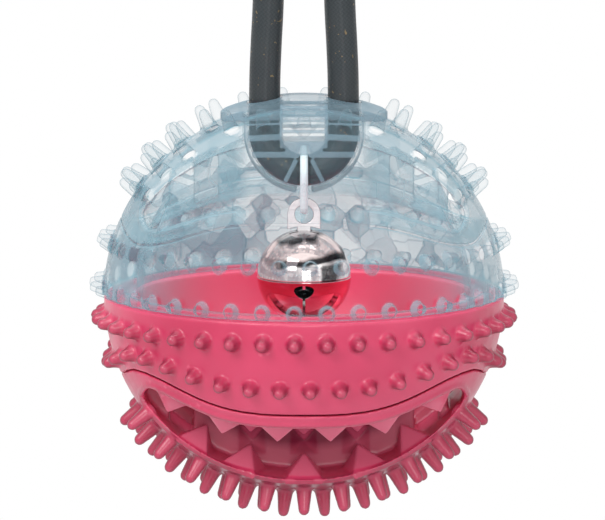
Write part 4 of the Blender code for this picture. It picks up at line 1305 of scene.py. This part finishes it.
def bell():
    finish = bell_chrome()
    top = BELL_CENTRE_Z + BELL_RADIUS + OVERRUN
    slot = rectangle(SHANK_WIDTH / 2 + FIT_GAP, BELL_CENTRE_Z, top)
    slot = prism("slot", slot, EYE_THICKNESS / 2 + FIT_GAP)
    slit = rectangle(SLIT_WIDTH / 2, BELL_CENTRE_Z - BELL_RADIUS - OVERRUN, SLIT_TOP)
    slit = prism("slit", slit, BELL_RADIUS + OVERRUN)
    hole = heart_hole()
    back_hole = moved(hole, Matrix.Translation((0, 0, BACK_HOLE_RISE)) @ BEHIND)
    for name, upside_down, cutters, cad in (
        ("bell_upper_cup", True, (slot,), "bell_top"),
        ("bell_lower_cup", False, (slit, hole, back_hole), "bell_bottom"),
    ):
        mesh = cut(name, cup(name, upside_down), *cutters)
        mesh.shade_smooth()
        mesh.set_sharp_from_angle(angle=radians(32))
        piece(name, mesh, finish, "bell", "chrome", cad)
    eye(chrome("bright_chrome", 0.08, (1.0, 0.95, 0.955), metallic=0.25, rim=0.9))
    pellet(chrome("dull_steel", 0.16, (0.45, 0.44, 0.43)))


def eye(finish):
    """The bell's flat eye with rounded edges, and its shank through the bell's top."""
    under = BELL_CENTRE_Z + BELL_RADIUS - BELL_WALL - 2 * FIT_GAP
    crown = BELL_RADIUS + 2 * FIT_GAP
    left = [
        (-x, BELL_CENTRE_Z + sqrt(crown * crown - x * x))
        for x in evenly(EYE_OUTER_RADIUS, SHANK_WIDTH / 2, 8)
    ]
    left += [(-SHANK_WIDTH / 2, under), (-FOOT_HALF_WIDTH, under)]
    left.append((-FOOT_HALF_WIDTH, under - FOOT_THICKNESS))
    top = round_line(EYE_OUTER_RADIUS, EYE_CENTRE_Z, evenly(0, pi, 30))
    outline = top + left + [(-x, z) for x, z in reversed(left)]
    hole = round_line(EYE_HOLE_RADIUS, EYE_CENTRE_Z, evenly(0, 2 * pi, 30)[:-1])
    curve = bpy.data.curves.new("eye", "CURVE")
    curve.dimensions = "2D"
    curve.fill_mode = "BOTH"
    curve.extrude = EYE_THICKNESS / 2 - EYE_EDGE
    curve.bevel_depth = EYE_EDGE
    curve.bevel_resolution = 3
    curve.offset = -EYE_EDGE
    for line in (outline, hole):
        spline = curve.splines.new("POLY")
        spline.points.add(len(line) - 1)
        spline.use_cyclic_u = True
        for point, (x, z) in zip(spline.points, line):
            point.co = (x, z, 0, 1)
    obj = linked("eye", curve)
    obj.matrix_world = FACING_Y
    mesh = baked(obj)
    mesh.shade_smooth()
    mesh.set_sharp_from_angle(angle=radians(40))
    piece("bell_loop", mesh, finish, "bell", "chrome", "bell_eye")


def area_light(name, place, size, energy):
    """A soft light that faces the ball's centre."""
    data = bpy.data.lights.new(name, "AREA")
    data.shape = "RECTANGLE"
    data.size, data.size_y = size
    data.energy = energy
    obj = linked(name, data)
    obj.location = place
    ahead = Vector((0, 0, -HANG)) - Vector(place)
    obj.rotation_euler = ahead.to_track_quat("-Z", "Y").to_euler()


def studio():
    """A pale table well under the ball, big soft lights, and a white background for the eye."""
    scene = bpy.context.scene
    scene.view_settings.view_transform = "Standard"
    scene.cycles.transparent_max_bounces = 64
    bm = bmesh.new()
    bmesh.ops.create_grid(bm, x_segments=24, y_segments=24, size=TABLE_HALF_SIDE)
    table = linked("table", mesh_from(bm, "table"))
    table.location = (0, 0, TABLE_Z)
    table.data.materials.append(pale_table())
    area_light("key", (-0.55, -0.75, 0.55), (0.55, 0.55), 7.5)
    area_light("front", (0.10, -0.95, 0.10), (0.35, 0.35), 2.2)
    area_light("fill", (0.75, -0.60, 0.10), (0.50, 0.80), 1.2)
    area_light("top", (0, 0.15, 0.85), (0.80, 0.60), 5)
    world = bpy.data.worlds.new("studio")
    scene.world = world
    world.use_nodes = True
    tree = world.node_tree
    path = node(tree, "LightPath").outputs
    surround = tree.nodes["Background"]
    fill(surround.inputs["Color"], (0.86, 0.90, 0.93))
    fill(surround.inputs["Strength"], 0.55)
    white = node(tree, "Background", {"Color": (1, 1, 1), "Strength": 1.0})
    shown = path["Is Camera Ray"]
    for kind in ("Is Glossy Ray", "Is Transmission Ray"):
        shown = sums("MAXIMUM", shown, path[kind])
    mix = node(tree, "MixShader", {0: shown, 1: surround.outputs[0], 2: white.outputs[0]})
    fill(tree.nodes["World Output"].inputs["Surface"], mix.outputs[0])


camera()
rope()
PINK = pink_rubber()
CLEAR = clear_rubber()
lower_half(PINK)
upper_half(CLEAR)
guide(clear_insert("clear_insert", 0.03, 0.60))
ribs(clear_insert("clear_ribs", 0.36, 0.35))
tie()
bell()
studio()
